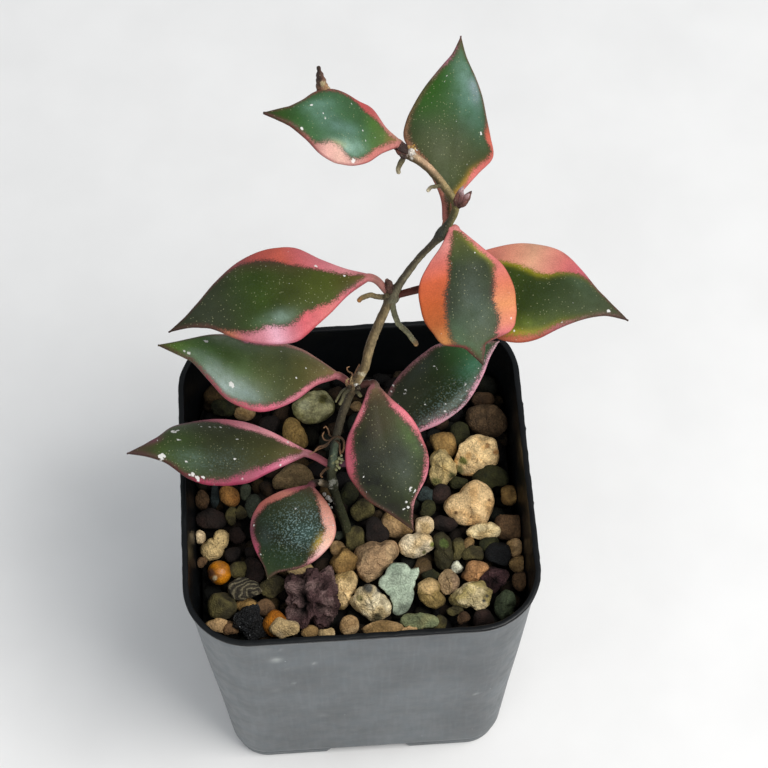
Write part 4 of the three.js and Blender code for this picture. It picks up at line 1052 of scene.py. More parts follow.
ROOT_TINTS = [(0, "4c4430"), (0.4, "6a5c40"), (0.8, "7e6c48"), (0.92, "a0703c"), (1, "c98a48")]
ROOT_SHORT = [(0, "4c4430"), (0.6, "6c6448"), (0.88, "a89c80"), (1, "cabea2")]
ROOT_PALE = [(0, "6a6a50"), (0.5, "8c8a6a"), (0.85, "9c9470"), (0.93, "a8865a"), (1, "c89a68")]
STALK_STUB = [(0, "4a3c2c"), (0.6, "4c2e26"), (1, "5e4038")]

# Air roots, and last the stub of an old stalk: their line, the radii of foot and
# end, how knobbly they are, and their colours.
ROOTS = [
    ([JOINTS["upper"], (6.3, 14.4, 133.1), (4.5, 14.7, 133.5), (3.1, 14.5, 133.1), (2, 14.1, 132.3)],
     0.55, 0.48, 0.2, ROOT_TINTS),
    ([JOINTS["upper"], (9.1, 12.5, 130.6), (9.8, 10.7, 128.9), (11.8, 9.6, 126.4), (13.5, 8.3, 123.6)],
     0.6, 0.52, 0.16, ROOT_PALE),
    ([JOINTS["tip"], (11.5, 29.3, 157.2), (11, 28.7, 156.2), (11.2, 28.3, 155.2)],
     0.6, 0.42, 0.16, ROOT_SHORT),
    ([(19.4, 25.5, 154.7), (17.8, 24.7, 155.5), (17, 24.5, 155.6), (16.2, 23.6, 155.5)],
     0.45, 0.36, 0.14, ROOT_SHORT),
    ([JOINTS["upper"], (8.4, 15.1, 134.4), (8.6, 15.9, 136.5)], 0.7, 0.6, 0.4, STALK_STUB),
]
for k, (stops, foot, end, knobs, tints) in enumerate(ROOTS):
    branch(stops, foot, end, tints, 71 + k, knobs=knobs)


def near(joint, places):
    """Places in the picture as points close to a joint: each is x and y in
    pixels, and how many mm it lies nearer to the eye than the joint."""
    places = np.array(places, float)
    return seen_on(places[:, :2], np.array(JOINTS[joint]), toward_eye) + places[:, 2:] * toward_eye


# The bud and the sheath at the tip's joint: pointed scales, dark at the foot.
# Each is where it grows, its line, its foot's radius, bulge and colours.
BUD_RED = [(0, "3f2620"), (0.4, "5c332c"), (0.7, "7c4c42"), (1, "3c211e")]
BUD_SILVER = [(0, "44302a"), (0.45, "7a4c4a"), (0.8, "c6a6a8"), (1, "8c666a")]
SHEATH = [(0, "3a2a24"), (0.5, "2e1c1a"), (0.8, "5a3c38"), (1, "3a2420")]
SCALES = [
    ("bend", [(457.5, 207, 0.3), (464, 201, 0.8), (471.8, 191, 0.4)], 0.5, 0.5, BUD_RED),
    ("bend", [(460.5, 203.5, 1.1), (465.5, 198, 1.6), (469.5, 194, 1.0)], 0.25, 0.35, BUD_SILVER),
    ("bend", [(457, 205, 0), (459.6, 195, 0.5), (463.4, 185.5, 0.1)], 0.45, 0.45, BUD_SILVER),
    ("bend", [(455.5, 206, 0.8), (456.4, 199, 1.2), (459, 192.5, 0.7)], 0.35, 0.35, BUD_RED),
    ("bend", [(458, 204, 1.0), (461.5, 198, 1.5), (462.5, 191, 0.8)], 0.3, 0.35, BUD_SILVER),
    ("bend", [(459, 207, 0.9), (463.5, 204.5, 1.2), (467.5, 199, 0.9)], 0.3, 0.3, BUD_RED),
    ("tip", [(408, 153.5, 0.5), (402, 149, 1.3), (396.6, 142, 0.9)], 0.5, 0.5, SHEATH),
    ("tip", [(407, 157, 0.4), (400.5, 154, 1.1), (395, 149.5, 0.6)], 0.45, 0.3, BUD_RED),
    ("tip", [(408, 150, 0.7), (403.5, 146.5, 1.4), (400, 141.8, 1.1)], 0.4, 0.35, SHEATH),
    ("tip", [(406, 158, 0.8), (402.5, 157, 1.5), (399, 152.5, 1.4)], 0.3, 0.25, SHEATH),
]
for k, (joint, places, foot, bulge, tints) in enumerate(SCALES):
    branch(near(joint, places), foot, 0.07, tints, 80 + k, bulge=bulge, count=26, sides=12, knobs=0.12)

# Dry fibres and root stubs at the lower joints: where they grow, their line, and
# their radii.
FIBRE_TINTS = [(0, "3c2e20"), (0.5, "6e5038"), (1, "a87c58")]
STUB_TINTS = [(0, "302c1e"), (0.5, "4e4a32"), (1, "7c7650")]
FIBRES = [
    ("halfway", [(333, 437, 0.5), (329.5, 434.5, 1.2), (328.5, 430, 1.6), (326, 426.5, 1.5),
                 (323.8, 428, 1.2)], 0.2, 0.15),
    ("halfway", [(333, 438, 0.4), (328, 440.5, 1.2), (324, 439, 1.5), (322.8, 435, 1.3),
                 (324.5, 431.5, 1.0)], 0.19, 0.13),
    ("halfway", [(342, 437.5, 0.9), (335, 437, 1.6), (330, 441, 1.5), (326.5, 446, 1.2),
                 (318, 449.5, 0.9), (309, 455, 0.6)], 0.2, 0.09),
    ("halfway", [(329, 443, 1.2), (324, 445.5, 1.5), (319, 447, 1.2), (315, 451, 0.9)], 0.3, 0.14),
    ("halfway", [(333, 437.5, 1.3), (339, 436.5, 1.9), (343.5, 440, 1.6), (344, 447, 1.0), (342, 453, 0.8)],
     0.3, 0.2),
    ("halfway", [(336, 440, 1.0), (339.5, 443, 1.6), (340, 450, 1.4), (341, 455, 1.0)], 0.26, 0.18),
    ("middle", [(357, 389, 0.6), (352, 385, 1.5), (348, 384, 1.3), (347.3, 377.5, 1.0)], 0.26, 0.12),
    ("middle", [(354, 388, 0.5), (351, 381, 1.2), (352.5, 374, 1.1), (348, 371, 0.9), (347, 368, 0.9),
                (350, 366.5, 0.9)], 0.26, 0.12),
    ("middle", [(352, 388, 0.6), (347, 385.5, 1.2), (346, 381, 1.3), (349.5, 378.5, 1.2)], 0.26, 0.14),
    ("middle", [(356, 386, 1.0), (354.5, 379, 1.3), (356.5, 371, 1.2), (360, 364, 0.9)], 0.42, 0.16),
    ("lower", [(331, 466, 0.6), (325, 470, 1.4), (321, 475, 1.2), (323, 477.5, 1.1)], 0.34, 0.18),
    ("lower", [(334, 462, 0.6), (339, 459, 1.4), (343, 460.5, 1.1), (344.5, 464, 0.8)], 0.4, 0.2),
]
STUBS = [
    ("middle", [(350, 389, 0.8), (345, 393, 1.3), (342.5, 399, 1.3), (339.5, 405, 1.0)], 0.46, 0.3),
    ("middle", [(348, 388.5, 0.6), (342.5, 391, 1.0), (338.5, 397, 0.9), (335.5, 402.5, 0.7)], 0.34, 0.2),
    ("middle", [(356, 390, 0.6), (359, 394, 1.1), (361.5, 397, 0.8)], 0.42, 0.4),
]
for k, (joint, places, foot, end) in enumerate(FIBRES + STUBS):
    tints = FIBRE_TINTS if k < len(FIBRES) else STUB_TINTS
    branch(near(joint, places), foot, end, tints, 100 + k, count=40, sides=8, knobs=0.25)

# The round scar of a cut stalk at the lowest joint, with its dark pith.
branch(near("lowest", [(331, 485, 0.6), (326, 483.5, 2.0), (319.5, 481, 3.4)]), 0.7, 0.75,
       [(0, "2e2a20"), (0.7, "4c4232"), (0.88, "7c6c54"), (1, "d8c6ac")], 99, count=30, knobs=0.12)

# Crumbs of bark, lime and dried sap: where they sit, their place, mm towards the
# eye, radius in mm and colour.
CRUMBS = [
    ("lowest", 318.8, 480.6, 4.1, 0.24, "2a1c14"), ("upper", 389.2, 283.5, 1.2, 0.75, "4a2e28"),
    ("upper", 391.8, 287.5, 1.5, 0.6, "3c2620"), ("upper", 388, 288.5, 1.4, 0.5, "54362c"),
    ("upper", 387.3, 281, 1.0, 0.42, "6e5046"), ("upper", 386.5, 296, 1.6, 0.6, "5a5038"),
    ("tip", 411.6, 152.6, 1.2, 0.78, "e8ded2"), ("tip", 412.5, 147.6, 1.2, 0.34, "b89458"),
    ("tip", 415, 149.4, 1.2, 0.26, "d8bc80"), ("tip", 414, 146, 1.1, 0.24, "a47c3c"),
    ("tip", 408.6, 147.8, 1.3, 0.3, "b48c54"), ("lower", 341.5, 455.5, 1.5, 0.3, "e4e2b8"),
    ("lower", 339.5, 458, 1.7, 0.42, "d8d6a0"), ("lower", 342, 459.5, 1.3, 0.34, "e0deb0"),
    ("lower", 337.4, 461.5, 1.7, 0.45, "ccca90"), ("lower", 341.2, 462.6, 1.4, 0.28, "dcdaa8"),
    ("lower", 337.5, 465.5, 1.6, 0.36, "c6c48c"), ("lower", 339.5, 467.5, 1.4, 0.34, "d0ce98"),
    ("lower", 336.5, 469.5, 1.5, 0.3, "c0be88"), ("lowest", 331.5, 484.5, 1.5, 0.42, "cfccbc"),
    ("lowest", 334.5, 481.5, 1.4, 0.36, "bcbaa8"), ("lowest", 324.5, 494, 1.6, 0.4, "e4e0d8"),
    ("lowest", 328, 497.5, 1.6, 0.45, "f0ece4"), ("lowest", 330.5, 500, 1.7, 0.42, "e8e4dc"),
    ("lowest", 328.5, 504, 1.5, 0.36, "dcd8d0"), ("lowest", 331.5, 507, 1.4, 0.34, "e0dcd4"),
    ("middle", 356.5, 384.8, 1.7, 0.26, "f2eee6"), ("middle", 350, 387, 1.3, 0.6, "3a2c1c"),
    ("middle", 358.5, 387.5, 1.2, 0.6, "33261a"),
]
for k, (joint, x, y, lift, radius, code) in enumerate(CRUMBS):
    middle = near(joint, [(x, y, lift)])[0]
    rings, hollow = lump(middle, VIEW_AXES, np.full(14, radius), 2 * radius, 200 + k, cuts=7, chip=0.5,
                         rough=0.28 * radius, flat=1.0, rows=10)
    stem_skins.append(closed_skin(rings))
    stem_tints.append(with_ends(paint(code) * (1 + 0.3 * layered_grain(rings, 0.4, 230 + k))[..., None]))

stem_finish, tree, shader = new_finish("stem_bark", Roughness=0.62)
shader.inputs["Specular IOR Level"].default_value = 0.35
position = add(tree, "ShaderNodeTexCoord", out="Object")
fibrous = add(tree, "ShaderNodeMapping", Vector=position, Scale=(1.0, 1.0, 0.2), Rotation=(0.35, 0.1, 0.0))
furrow = use_group(tree, blotches, Place=fibrous, Size=0.3, Low=0.35, High=0.65)
scurf = use_group(tree, flecks, Place=position, Spacing=0.5, Radius=0.13, Share=0.5)
bark = attribute(tree, "tint", "Color")
bark = blend(tree, arithmetic(tree, "MULTIPLY", furrow, 0.4), bark, paint("2e2a1c"))
bark = blend(tree, arithmetic(tree, "MULTIPLY", scurf, 0.35), bark, paint("b7ab85"))
tree.links.new(bark, shader.inputs["Base Color"])
bump = add(tree, "ShaderNodeBump", Strength=0.5, Distance=0.0003,
           Height=arithmetic(tree, "SUBTRACT", scurf, furrow))
tree.links.new(bump, shader.inputs["Normal"])
add_piece("stem_and_roots", joined(stem_skins), stem_finish, "stem_bark", ["stem"],
          tint=np.concatenate(stem_tints))

# -------------------------------------------------------------- the leaves
# Ten thick waxy leaves on short stalks, grown in pairs. Each is dark green with
# fine silvery flecks, flushed pink along its margins, and spotted with lime.

BLADE_ROWS, BLADE_COLUMNS, BLADE_SEED = 150, 44, 500
EDGE_STOPS = np.array([0, 0.1, 0.2, 0.3, 0.4, 0.5, 0.6, 0.7, 0.8, 0.85, 0.9, 1])
MID_HALF, EDGE_HALF = 0.6, 0.31  # half the thickness in mm, at the midrib and near the margin
NARROWEST = 0.16
GROOVE, GROOVE_WIDTH = 0.06, 0.55
KEEL, KEEL_WIDTH = 0.12, 0.6
WAVES, WAVE_SIZE = 0.16, 5.5
RIPPLE, RIPPLES = 0.35, 2.5
CROWDING = 0.1
PETIOLE_ROWS, PETIOLE_RADIUS, PETIOLE_REACH = 22, 0.7, 0.4

FLESH = np.array([0.97, 0.95, 0.72])  # the wax lightens the green flesh under it
DUSK, UNDERSIDE = "4c302c", "6f7a58"

# The shapes are those of the frame, with the half widths in mm at the stops to
# the left and right of the midrib, seen from the stalk. left and right are the
# pink margins: places from 0 to 1 along the leaf, and the share of that half
# that is flushed. pinks and greens are colours along the leaf. The patches of
# painted sheen (pale) and painted shade (dark) are place, side (-1 to 1), reach
# along and across in mm, colour and strength. Lime spots are place, side and
# radius in mm.
LEAVES = {
    "leaf_tip_left": dict(
        joint="tip", base=(11, 31.4, 161.2), heading=170, rise=29, droop=9, swerve=18, roll=0, length=27.5,
        bow=-0.2,
        left_edge=[1.2, 3.5, 6.4, 7.8, 8.3, 8.6, 7.6, 4.7, 2.6, 2, 1.5, 0.3],
        right_edge=[0.9, 2.5, 6.2, 7.1, 7.9, 8.1, 7, 4.3, 2.1, 1.5, 1, 0],
        left=[(0, 0.55), (0.1, 0.42), (0.2, 0.27), (0.26, 0.13), (0.35, 0.1), (0.42, 0.28), (0.48, 0.4),
              (0.54, 0.4), (0.6, 0.25), (0.66, 0.08), (1, 0.04)],
        right=[(0, 0.8), (0.06, 0.6), (0.12, 0.42), (0.2, 0.42), (0.26, 0.35), (0.31, 0.14), (0.37, 0.06),
               (0.6, 0.04), (1, 0.05)],
        left_pinks=[(0, "c07a74"), (0.2, "c4746c"), (0.32, "c8948c"), (0.45, "e2b4a4"), (0.58, "d8a298"),
                    (0.66, "a86a64"), (0.75, "7a403c"), (1, "4a2a28")],
        right_pinks=[(0, "b08470"), (0.12, "c47a74"), (0.2, "bc5c5a"), (0.28, "b44e4c"), (0.4, "96504c"),
                     (1, "4a3030")],
        greens=[(0, "a07a5c"), (0.07, "7c7048"), (0.12, "587040"), (0.2, "4a6c38"), (0.3, "3e6242"),
                (0.5, "40644e"), (0.65, "3c6242"), (0.75, "335a30"), (0.88, "324e22"), (1, "2e3420")],
        sheen_and_shade=[(0.4, -0.6, 3.5, 1.6, "8fb0a2", 0.75), (0.34, -0.55, 2.2, 1.4, "7ea08e", 0.5),
               (0.45, -0.15, 4.5, 1.5, "6a8c80", 0.6), (0.58, 0.15, 2.6, 1.6, "6a8e7e", 0.5),
               (0.6, 0.48, 3, 1.4, "6f9584", 0.6), (0.47, -0.58, 1.6, 0.7, "c0c08c", 0.7)],
        depth=0.9, stalk="8a5a50",
        spots=[(0.33, -0.9, 0.55), (0.56, -0.02, 0.33), (0.575, 0.14, 0.2), (0.65, 0.48, 0.38),
               (0.735, -0.75, 0.35), (0.25, -0.35, 0.15), (0.28, -0.07, 0.15), (0.455, 0.5, 0.15),
               (0.355, 0.7, 0.15)]),
    "leaf_crown_back": dict(
        joint="crown", base=(20.1, 22.2, 147.4), heading=79, rise=15, droop=-2, swerve=5, roll=-24,
        length=38.2, bow=-0.45,
        left_edge=[0.9, 1.6, 3.6, 6.5, 9.7, 9.8, 8.5, 6.6, 4.2, 2.9, 1.6, 0],
        right_edge=[0.9, 1, 3.5, 6.3, 9.1, 8.3, 7.3, 6, 3.8, 2.5, 1.4, 0],
        left=[(0, 0.6), (0.1, 0.3), (0.2, 0.14), (0.3, 0.1), (0.4, 0.06), (0.5, 0.02), (0.8, 0.02),
              (0.86, 0.1), (1, 0.1)],
        right=[(0, 0.6), (0.1, 0.35), (0.2, 0.18), (0.25, 0.2), (0.3, 0.27), (0.36, 0.17), (0.42, 0.06),
               (0.46, 0.14), (0.5, 0.22), (0.54, 0.12), (0.6, 0.03), (1, 0.03)],
        left_pinks=[(0, "a8645e"), (0.3, "b0785c"), (0.45, "8c6a50"), (0.7, "5c6038"), (0.86, "a86c7c"),
                    (1, "7a4a4c")],
        right_pinks=[(0, "c4706c"), (0.25, "dc7872"), (0.4, "d06a60"), (0.5, "c86450"), (0.6, "8c5a40"),
                     (1, "5c5038")],
        greens=[(0, "4c4a30"), (0.2, "464f30"), (0.35, "444c30"), (0.48, "38502e"), (0.6, "2e5422"),
                (0.75, "2f5a1c"), (0.88, "3a5c24"), (1, "5c5430")],
        yellow=(0.2, 0.12, 1, "a88434"),
        sheen_and_shade=[(0.7, 0.35, 7, 3.4, "5c8070", 0.75), (0.72, 0.6, 2.6, 1.4, "8c9ca2", 0.8),
               (0.56, 0.6, 4, 2, "4a6c58", 0.6), (0.8, 0.2, 4, 1.6, "6c8c7c", 0.45),
               (0.42, 0, 5, 8, "50523a", 0.35), (0.3, -0.4, 5, 4, "54603c", 0.35)],
        depth=0.78, stalk="8c5c48",
        spots=[(0.5, 0.66, 0.4), (0.77, -0.55, 0.2), (0.565, -0.6, 0.15), (0.48, -0.2, 0.15),
               (0.35, -0.9, 0.3)]),
    "leaf_crown_front": dict(
        joint="crown", base=(21, 19.6, 147.7), heading=278, rise=-11, droop=18, swerve=2, roll=0,
        length=27.2, bow=-0.3,
        left_edge=[1.5, 3.7, 5.85, 8.1, 9.1, 9.4, 9.1, 8.6, 6.8, 1.9, 1.05, 0],
        right_edge=[1, 3, 5.8, 8, 9.1, 9.3, 9.1, 8, 6.5, 3.1, 1.9, 0],
        left=[(0, 0.28), (0.1, 0.25), (0.2, 0.2), (0.27, 0.16), (0.33, 0.22), (0.4, 0.32), (0.48, 0.42),
              (0.56, 0.48), (0.63, 0.44), (0.7, 0.4), (0.79, 0.46), (0.83, 0.2), (1, 0.1)],
        right=[(0, 0.7), (0.08, 0.6), (0.15, 0.64), (0.2, 0.6), (0.3, 0.65), (0.36, 0.62), (0.42, 0.56),
               (0.5, 0.5), (0.6, 0.44), (0.68, 0.36), (0.76, 0.3), (0.8, 0.24), (0.84, 0.12), (1, 0.08)],
        left_pinks=[(0, "d08480"), (0.3, "d0726c"), (0.45, "d4785c"), (0.6, "d88a5a"), (0.74, "d48068"),
                    (0.8, "cc7072"), (0.84, "7a403c"), (1, "5a3430")],
        right_pinks=[(0, "d07a78"), (0.1, "dc8c84"), (0.22, "d07064"), (0.35, "c8603e"), (0.5, "b4562c"),
                     (0.65, "ae5c30"), (0.79, "b87c48"), (0.82, "7a3434"), (1, "4a2c28")],
        greens=[(0, "72683e"), (0.08, "5c6238"), (0.2, "485434"), (0.3, "36422e"), (0.5, "36412f"),
                (0.65, "43523c"), (0.8, "505c42"), (0.9, "4c5c38"), (1, "4a4a34")],
        yellow=(0.2, 0.12, -1, "8a8a34"), dusk=(0.42, 0.16, -1, 1.6),
        sheen_and_shade=[(0.6, -0.1, 6, 2.5, "56645a", 0.5), (0.7, 0.35, 4, 2.4, "4c5e4c", 0.5),
               (0.52, 0.38, 3.5, 1.3, "262a20", 0.6), (0.33, 0.1, 2.6, 1, "2c3426", 0.5),
               (0.78, 0.5, 3, 1.6, "50664c", 0.5)],
        depth=0.75, stalk="b8706c",
        spots=[(0.2, -0.53, 0.2), (0.53, -0.86, 0.25), (0.71, -0.87, 0.35), (0.34, 0.2, 0.15),
               (0.68, 0.35, 0.13)]),
    "leaf_upper_left": dict(
        joint="upper", base=(4.1, 17.3, 136), heading=183, rise=9, droop=27, swerve=17, roll=-1, length=41,
        bow=-0.4,
        left_edge=[0.9, 3.5, 6.8, 9.2, 11.1, 11.05, 9.8, 7.2, 3.35, 2.2, 1.25, 0],
        right_edge=[0.9, 2.6, 5.8, 9.8, 10.7, 10.6, 9.6, 7.05, 3.8, 2.5, 1.4, 0],
        left=[(0, 0.3), (0.1, 0.2), (0.2, 0.2), (0.26, 0.29), (0.33, 0.34), (0.4, 0.28), (0.45, 0.24),
              (0.53, 0.31), (0.6, 0.2), (0.7, 0.15), (0.77, 0.04), (1, 0.03)],
        right=[(0, 0.75), (0.1, 0.69), (0.2, 0.6), (0.28, 0.6), (0.34, 0.54), (0.4, 0.38), (0.48, 0.24),
               (0.56, 0.14), (0.65, 0.08), (0.75, 0.04), (1, 0.03)],
        left_pinks=[(0, "b4686a"), (0.1, "c46872"), (0.2, "d0706e"), (0.35, "cc5c64"), (0.42, "c4707c"),
                    (0.5, "dca4b4"), (0.57, "cc8490"), (0.66, "bc6c74"), (0.72, "bc7258"), (0.78, "5a3a30"),
                    (1, "302622")],
        right_pinks=[(0, "b0686a"), (0.1, "cc8488"), (0.2, "cc747c"), (0.3, "c86466"), (0.38, "c45c4c"),
                     (0.5, "ac4e46"), (0.58, "8a4648"), (0.68, "66383a"), (1, "302622")],
        greens=[(0, "6a5a3c"), (0.1, "525028"), (0.2, "4a5424"), (0.4, "3c4620"), (0.52, "36491c"),
                (0.62, "344422"), (0.72, "323a26"), (1, "2e3228")],
        dusk=(0.46, 0.14, 1, 4.5),
        sheen_and_shade=[(0.46, -0.58, 3, 1.5, "7c9284", 0.65), (0.55, -0.62, 2.5, 1.2, "5c7454", 0.4),
               (0.8, 0, 6, 7, "383e32", 0.5)],
        depth=0.92, stalk="9c6a62",
        spots=[(0.11, 0.08, 0.3), (0.235, 0.5, 0.4), (0.18, -0.27, 0.15), (0.62, 0.1, 0.15),
               (0.47, 0.15, 0.15)]),
    "leaf_upper_right": dict(
        joint="upper", base=(16, 14.5, 135.5), heading=2, rise=12, droop=19, swerve=-37, roll=2,
        length=40.7, bow=-0.45,
        left_edge=[0.9, 3.4, 7, 9.7, 11.5, 11.5, 10.6, 7.6, 4.1, 2.8, 1.65, 0],
        right_edge=[0.9, 3.8, 7.5, 10.2, 11.9, 11.9, 10.2, 7, 3.85, 2.4, 1.2, 0],
        left=[(0, 0.3), (0.2, 0.25), (0.28, 0.3), (0.33, 0.5), (0.4, 0.58), (0.46, 0.65), (0.52, 0.73),
              (0.57, 0.7), (0.61, 0.58), (0.66, 0.4), (0.71, 0.22), (0.75, 0.1), (0.8, 0.04), (1, 0.03)],
        right=[(0, 0.2), (0.4, 0.08), (0.5, 0.1), (0.6, 0.08), (0.7, 0.1), (0.76, 0.04), (1, 0.03)],
        left_pinks=[(0, "c0706a"), (0.3, "d07a68"), (0.4, "e0967a"), (0.48, "dea484"), (0.55, "d88e7a"),
                    (0.62, "d0726c"), (0.7, "c45e68"), (0.76, "a05a5c"), (1, "5a3c38")],
        right_pinks=[(0, "a86450"), (0.5, "a85a3e"), (0.62, "ac5a4c"), (0.7, "a86468"), (0.8, "806058"),
                     (1, "5a4440")],
        greens=[(0, "4c5220"), (0.38, "3e5018"), (0.5, "324218"), (0.6, "344422"), (0.7, "3a482a"),
                (0.8, "404c34"), (0.9, "4a4e3e"), (1, "4a4440")],
        yellow=(0.42, 0.25, 0, "98901c"),
        sheen_and_shade=[(0.5, 0.72, 8, 1.8, "56641a", 0.7), (0.72, -0.5, 4, 2.2, "4e6248", 0.45),
               (0.8, 0.1, 6, 5, "4c5842", 0.4)],
        depth=0.74, stalk="5a3028",
        spots=[(0.585, 0.25, 0.22), (0.725, 0.26, 0.22), (0.895, 0.3, 0.4), (0.7, 0.87, 0.3),
               (0.46, 0.85, 0.35), (0.67, 0.3, 0.12)]),
    "leaf_middle_left": dict(
        joint="middle", base=(-3, 8.3, 113.5), heading=170, rise=15, droop=4, swerve=5, roll=-14,
        length=36.8, bow=-0.4,
        left_edge=[0.9, 3.3, 7.5, 10.1, 11.6, 11.7, 10.4, 6.6, 2.9, 2.15, 1.5, 0],
        right_edge=[0.9, 3.7, 6.4, 7.3, 7.1, 7.1, 7.3, 6.2, 3.9, 2.8, 1.8, 0],
        left=[(0, 0.4), (0.08, 0.22), (0.15, 0.2), (0.21, 0.13), (0.27, 0.06), (0.4, 0.07), (0.6, 0.03),
              (0.72, 0.06), (0.8, 0.03), (1, 0.05)],
        right=[(0, 0.3), (0.1, 0.2), (0.3, 0.2), (0.36, 0.32), (0.44, 0.4), (0.52, 0.42), (0.57, 0.3),
               (0.62, 0.15), (0.68, 0.06), (1, 0.05)],
        left_pinks=[(0, "b87078"), (0.12, "cc7a84"), (0.25, "c87484"), (0.35, "cc6078"), (0.5, "b85a66"),
                    (0.7, "a05058"), (0.8, "6a4040"), (1, "3c3026")],
        right_pinks=[(0, "9a6a58"), (0.26, "9c6458"), (0.34, "c47272"), (0.42, "d07488"), (0.51, "d2809a"),
                     (0.56, "b0586a"), (0.63, "a06a5c"), (0.72, "6a4a38"), (1, "4a3a2c")],
        greens=[(0, "705a44"), (0.08, "58503a"), (0.2, "44442a"), (0.3, "363c28"), (0.42, "434c32"),
                (0.52, "46583a"), (0.62, "3c502a"), (0.75, "3e5a2c"), (0.9, "466026"), (1, "4a4a2c")],
        sheen_and_shade=[(0.62, -0.72, 5.5, 3, "a4b4ae", 0.85), (0.5, -0.8, 3.5, 1.6, "7e908c", 0.6),
               (0.74, -0.5, 3.5, 1.6, "6c8468", 0.5), (0.48, 0.4, 3.5, 1.6, "5c6854", 0.5),
               (0.6, 0.45, 3, 1.5, "748468", 0.55), (0.66, 0.7, 1.8, 0.8, "8c9480", 0.5)],
        depth=1.6, stalk="6a3c3c",
        spots=[(0.58, -0.7, 0.75), (0.83, -0.58, 0.4), (0.855, -0.55, 0.3), (0.735, 0.47, 0.5),
               (0.745, 0.55, 0.3), (0.32, 0.42, 0.28), (0.175, -0.05, 0.3), (0.225, -0.42, 0.25),
               (0.28, -0.4, 0.18), (0.3, 0.05, 0.18), (0.5, -0.46, 0.15), (0.28, 0.38, 0.15),
               (0.145, 0.3, 0.15), (0.79, 0.25, 0.15)]),
    "leaf_middle_front": dict(
        joint="middle", base=(4.8, 5.5, 112.5), heading=272, rise=-14, droop=31, swerve=24, roll=-1,
        length=31, bow=-0.1,
        left_edge=[1, 3.3, 5.75, 7.2, 7.8, 8.1, 7.65, 6.1, 2.9, 1.8, 1.05, 0],
        right_edge=[1.5, 3, 5.1, 7.3, 8.5, 8.9, 8, 6.6, 4, 2.9, 1.85, 0],
        left=[(0, 0.2), (0.08, 0.28), (0.13, 0.38), (0.2, 0.3), (0.27, 0.2), (0.34, 0.12), (0.42, 0.05),
              (0.52, 0.03), (0.6, 0.1), (0.66, 0.12), (0.74, 0.1), (0.8, 0.2), (0.88, 0.1), (1, 0.1)],
        right=[(0, 0.25), (0.1, 0.22), (0.15, 0.27), (0.2, 0.24), (0.26, 0.1), (0.33, 0.14), (0.4, 0.18),
               (0.46, 0.18), (0.52, 0.12), (0.58, 0.07), (0.7, 0.05), (1, 0.04)],
        left_pinks=[(0, "8a7060"), (0.09, "c07470"), (0.14, "e47c88"), (0.25, "e27a84"), (0.35, "d87680"),
                    (0.5, "bc6a6c"), (0.65, "d47a88"), (0.8, "c08084"), (1, "7a5a50")],
        right_pinks=[(0, "a86a70"), (0.1, "c4707c"), (0.18, "d0747e"), (0.25, "a85a66"), (0.35, "ac4c5c"),
                     (0.45, "ac5060"), (0.52, "8c4048"), (0.6, "6a3834"), (0.75, "5a3428"), (1, "3a2a22")],
        greens=[(0, "8a7460"), (0.05, "705c4a"), (0.1, "5c503e"), (0.16, "4a4834"), (0.25, "403f2a"),
                (0.35, "343a24"), (0.45, "2a2e22"), (0.55, "2e3426"), (0.65, "363d2a"), (0.75, "384228"),
                (0.87, "3a4026"), (1, "44362a")],
        sheen_and_shade=[(0.38, -0.72, 5, 2, "4a6428", 0.6), (0.6, -0.35, 5, 2.4, "484f44", 0.6),
               (0.3, 0.5, 5, 3, "181a12", 0.82), (0.6, 0.55, 7, 3, "12130d", 0.88),
               (0.8, 0.5, 4, 2.4, "201e17", 0.7), (0.25, 0.1, 4, 2.5, "463c2c", 0.4)],
        depth=0.9, stalk="4c302c",
        spots=[(0.455, -0.27, 0.22), (0.715, -0.42, 0.4), (0.73, -0.44, 0.3), (0.745, -0.65, 0.35),
               (0.79, -0.2, 0.35), (0.83, -0.32, 0.35), (0.83, 0.1, 0.3), (0.53, 0.67, 0.22),
               (0.55, 0.71, 0.22), (0.575, 0.82, 0.2), (0.64, 0.85, 0.2), (0.25, -0.68, 0.15),
               (0.45, -0.9, 0.2), (0.53, -0.43, 0.15), (0.32, -0.52, 0.15), (0.35, 0.5, 0.12),
               (0.48, -0.75, 0.15)]),
    "leaf_lower_left": dict(
        joint="lower", base=(-10.5, 1.5, 93), heading=169, rise=15, droop=3, swerve=29, roll=-13,
        length=38, bow=-0.5,
        left_edge=[0.9, 3.7, 6.2, 8.3, 9.2, 9.8, 9.5, 7.4, 3.7, 2.6, 1.65, 0],
        right_edge=[0.9, 2.95, 5.6, 7.5, 7.9, 8.1, 7.9, 6.8, 3.5, 2.4, 1.45, 0],
        left=[(0, 0.4), (0.08, 0.34), (0.13, 0.27), (0.2, 0.2), (0.3, 0.22), (0.38, 0.16), (0.45, 0.07),
              (0.6, 0.06), (0.72, 0.03), (0.85, 0.04), (1, 0.1)],
        right=[(0, 0.6), (0.05, 0.65), (0.14, 0.63), (0.18, 0.5), (0.3, 0.48), (0.36, 0.42), (0.42, 0.3),
               (0.48, 0.17), (0.56, 0.1), (0.66, 0.05), (0.75, 0.03), (1, 0.1)],
        left_pinks=[(0, "b07880"), (0.1, "d48094"), (0.2, "b85874"), (0.3, "a04c60"), (0.4, "9c3c58"),
                    (0.5, "984458"), (0.65, "9c3450"), (0.74, "5a3030"), (1, "3a2a2c")],
        right_pinks=[(0, "d88c94"), (0.1, "fca4ae"), (0.2, "fca8b0"), (0.3, "f49ca8"), (0.4, "de7e8c"),
                     (0.5, "b0606e"), (0.6, "7a4450"), (0.8, "6a3448"), (1, "3a2a30")],
        greens=[(0, "8a6c50"), (0.05, "66583e"), (0.1, "524e36"), (0.2, "42422a"), (0.3, "393b26"),
                (0.42, "333726"), (0.55, "343a28"), (0.68, "38482a"), (0.82, "3a4a26"), (0.92, "463e34"),
                (1, "42343a")],
        sheen_and_shade=[(0.64, -0.5, 4, 2.4, "5a6c5c", 0.5), (0.44, -0.4, 4, 2.4, "424a40", 0.4),
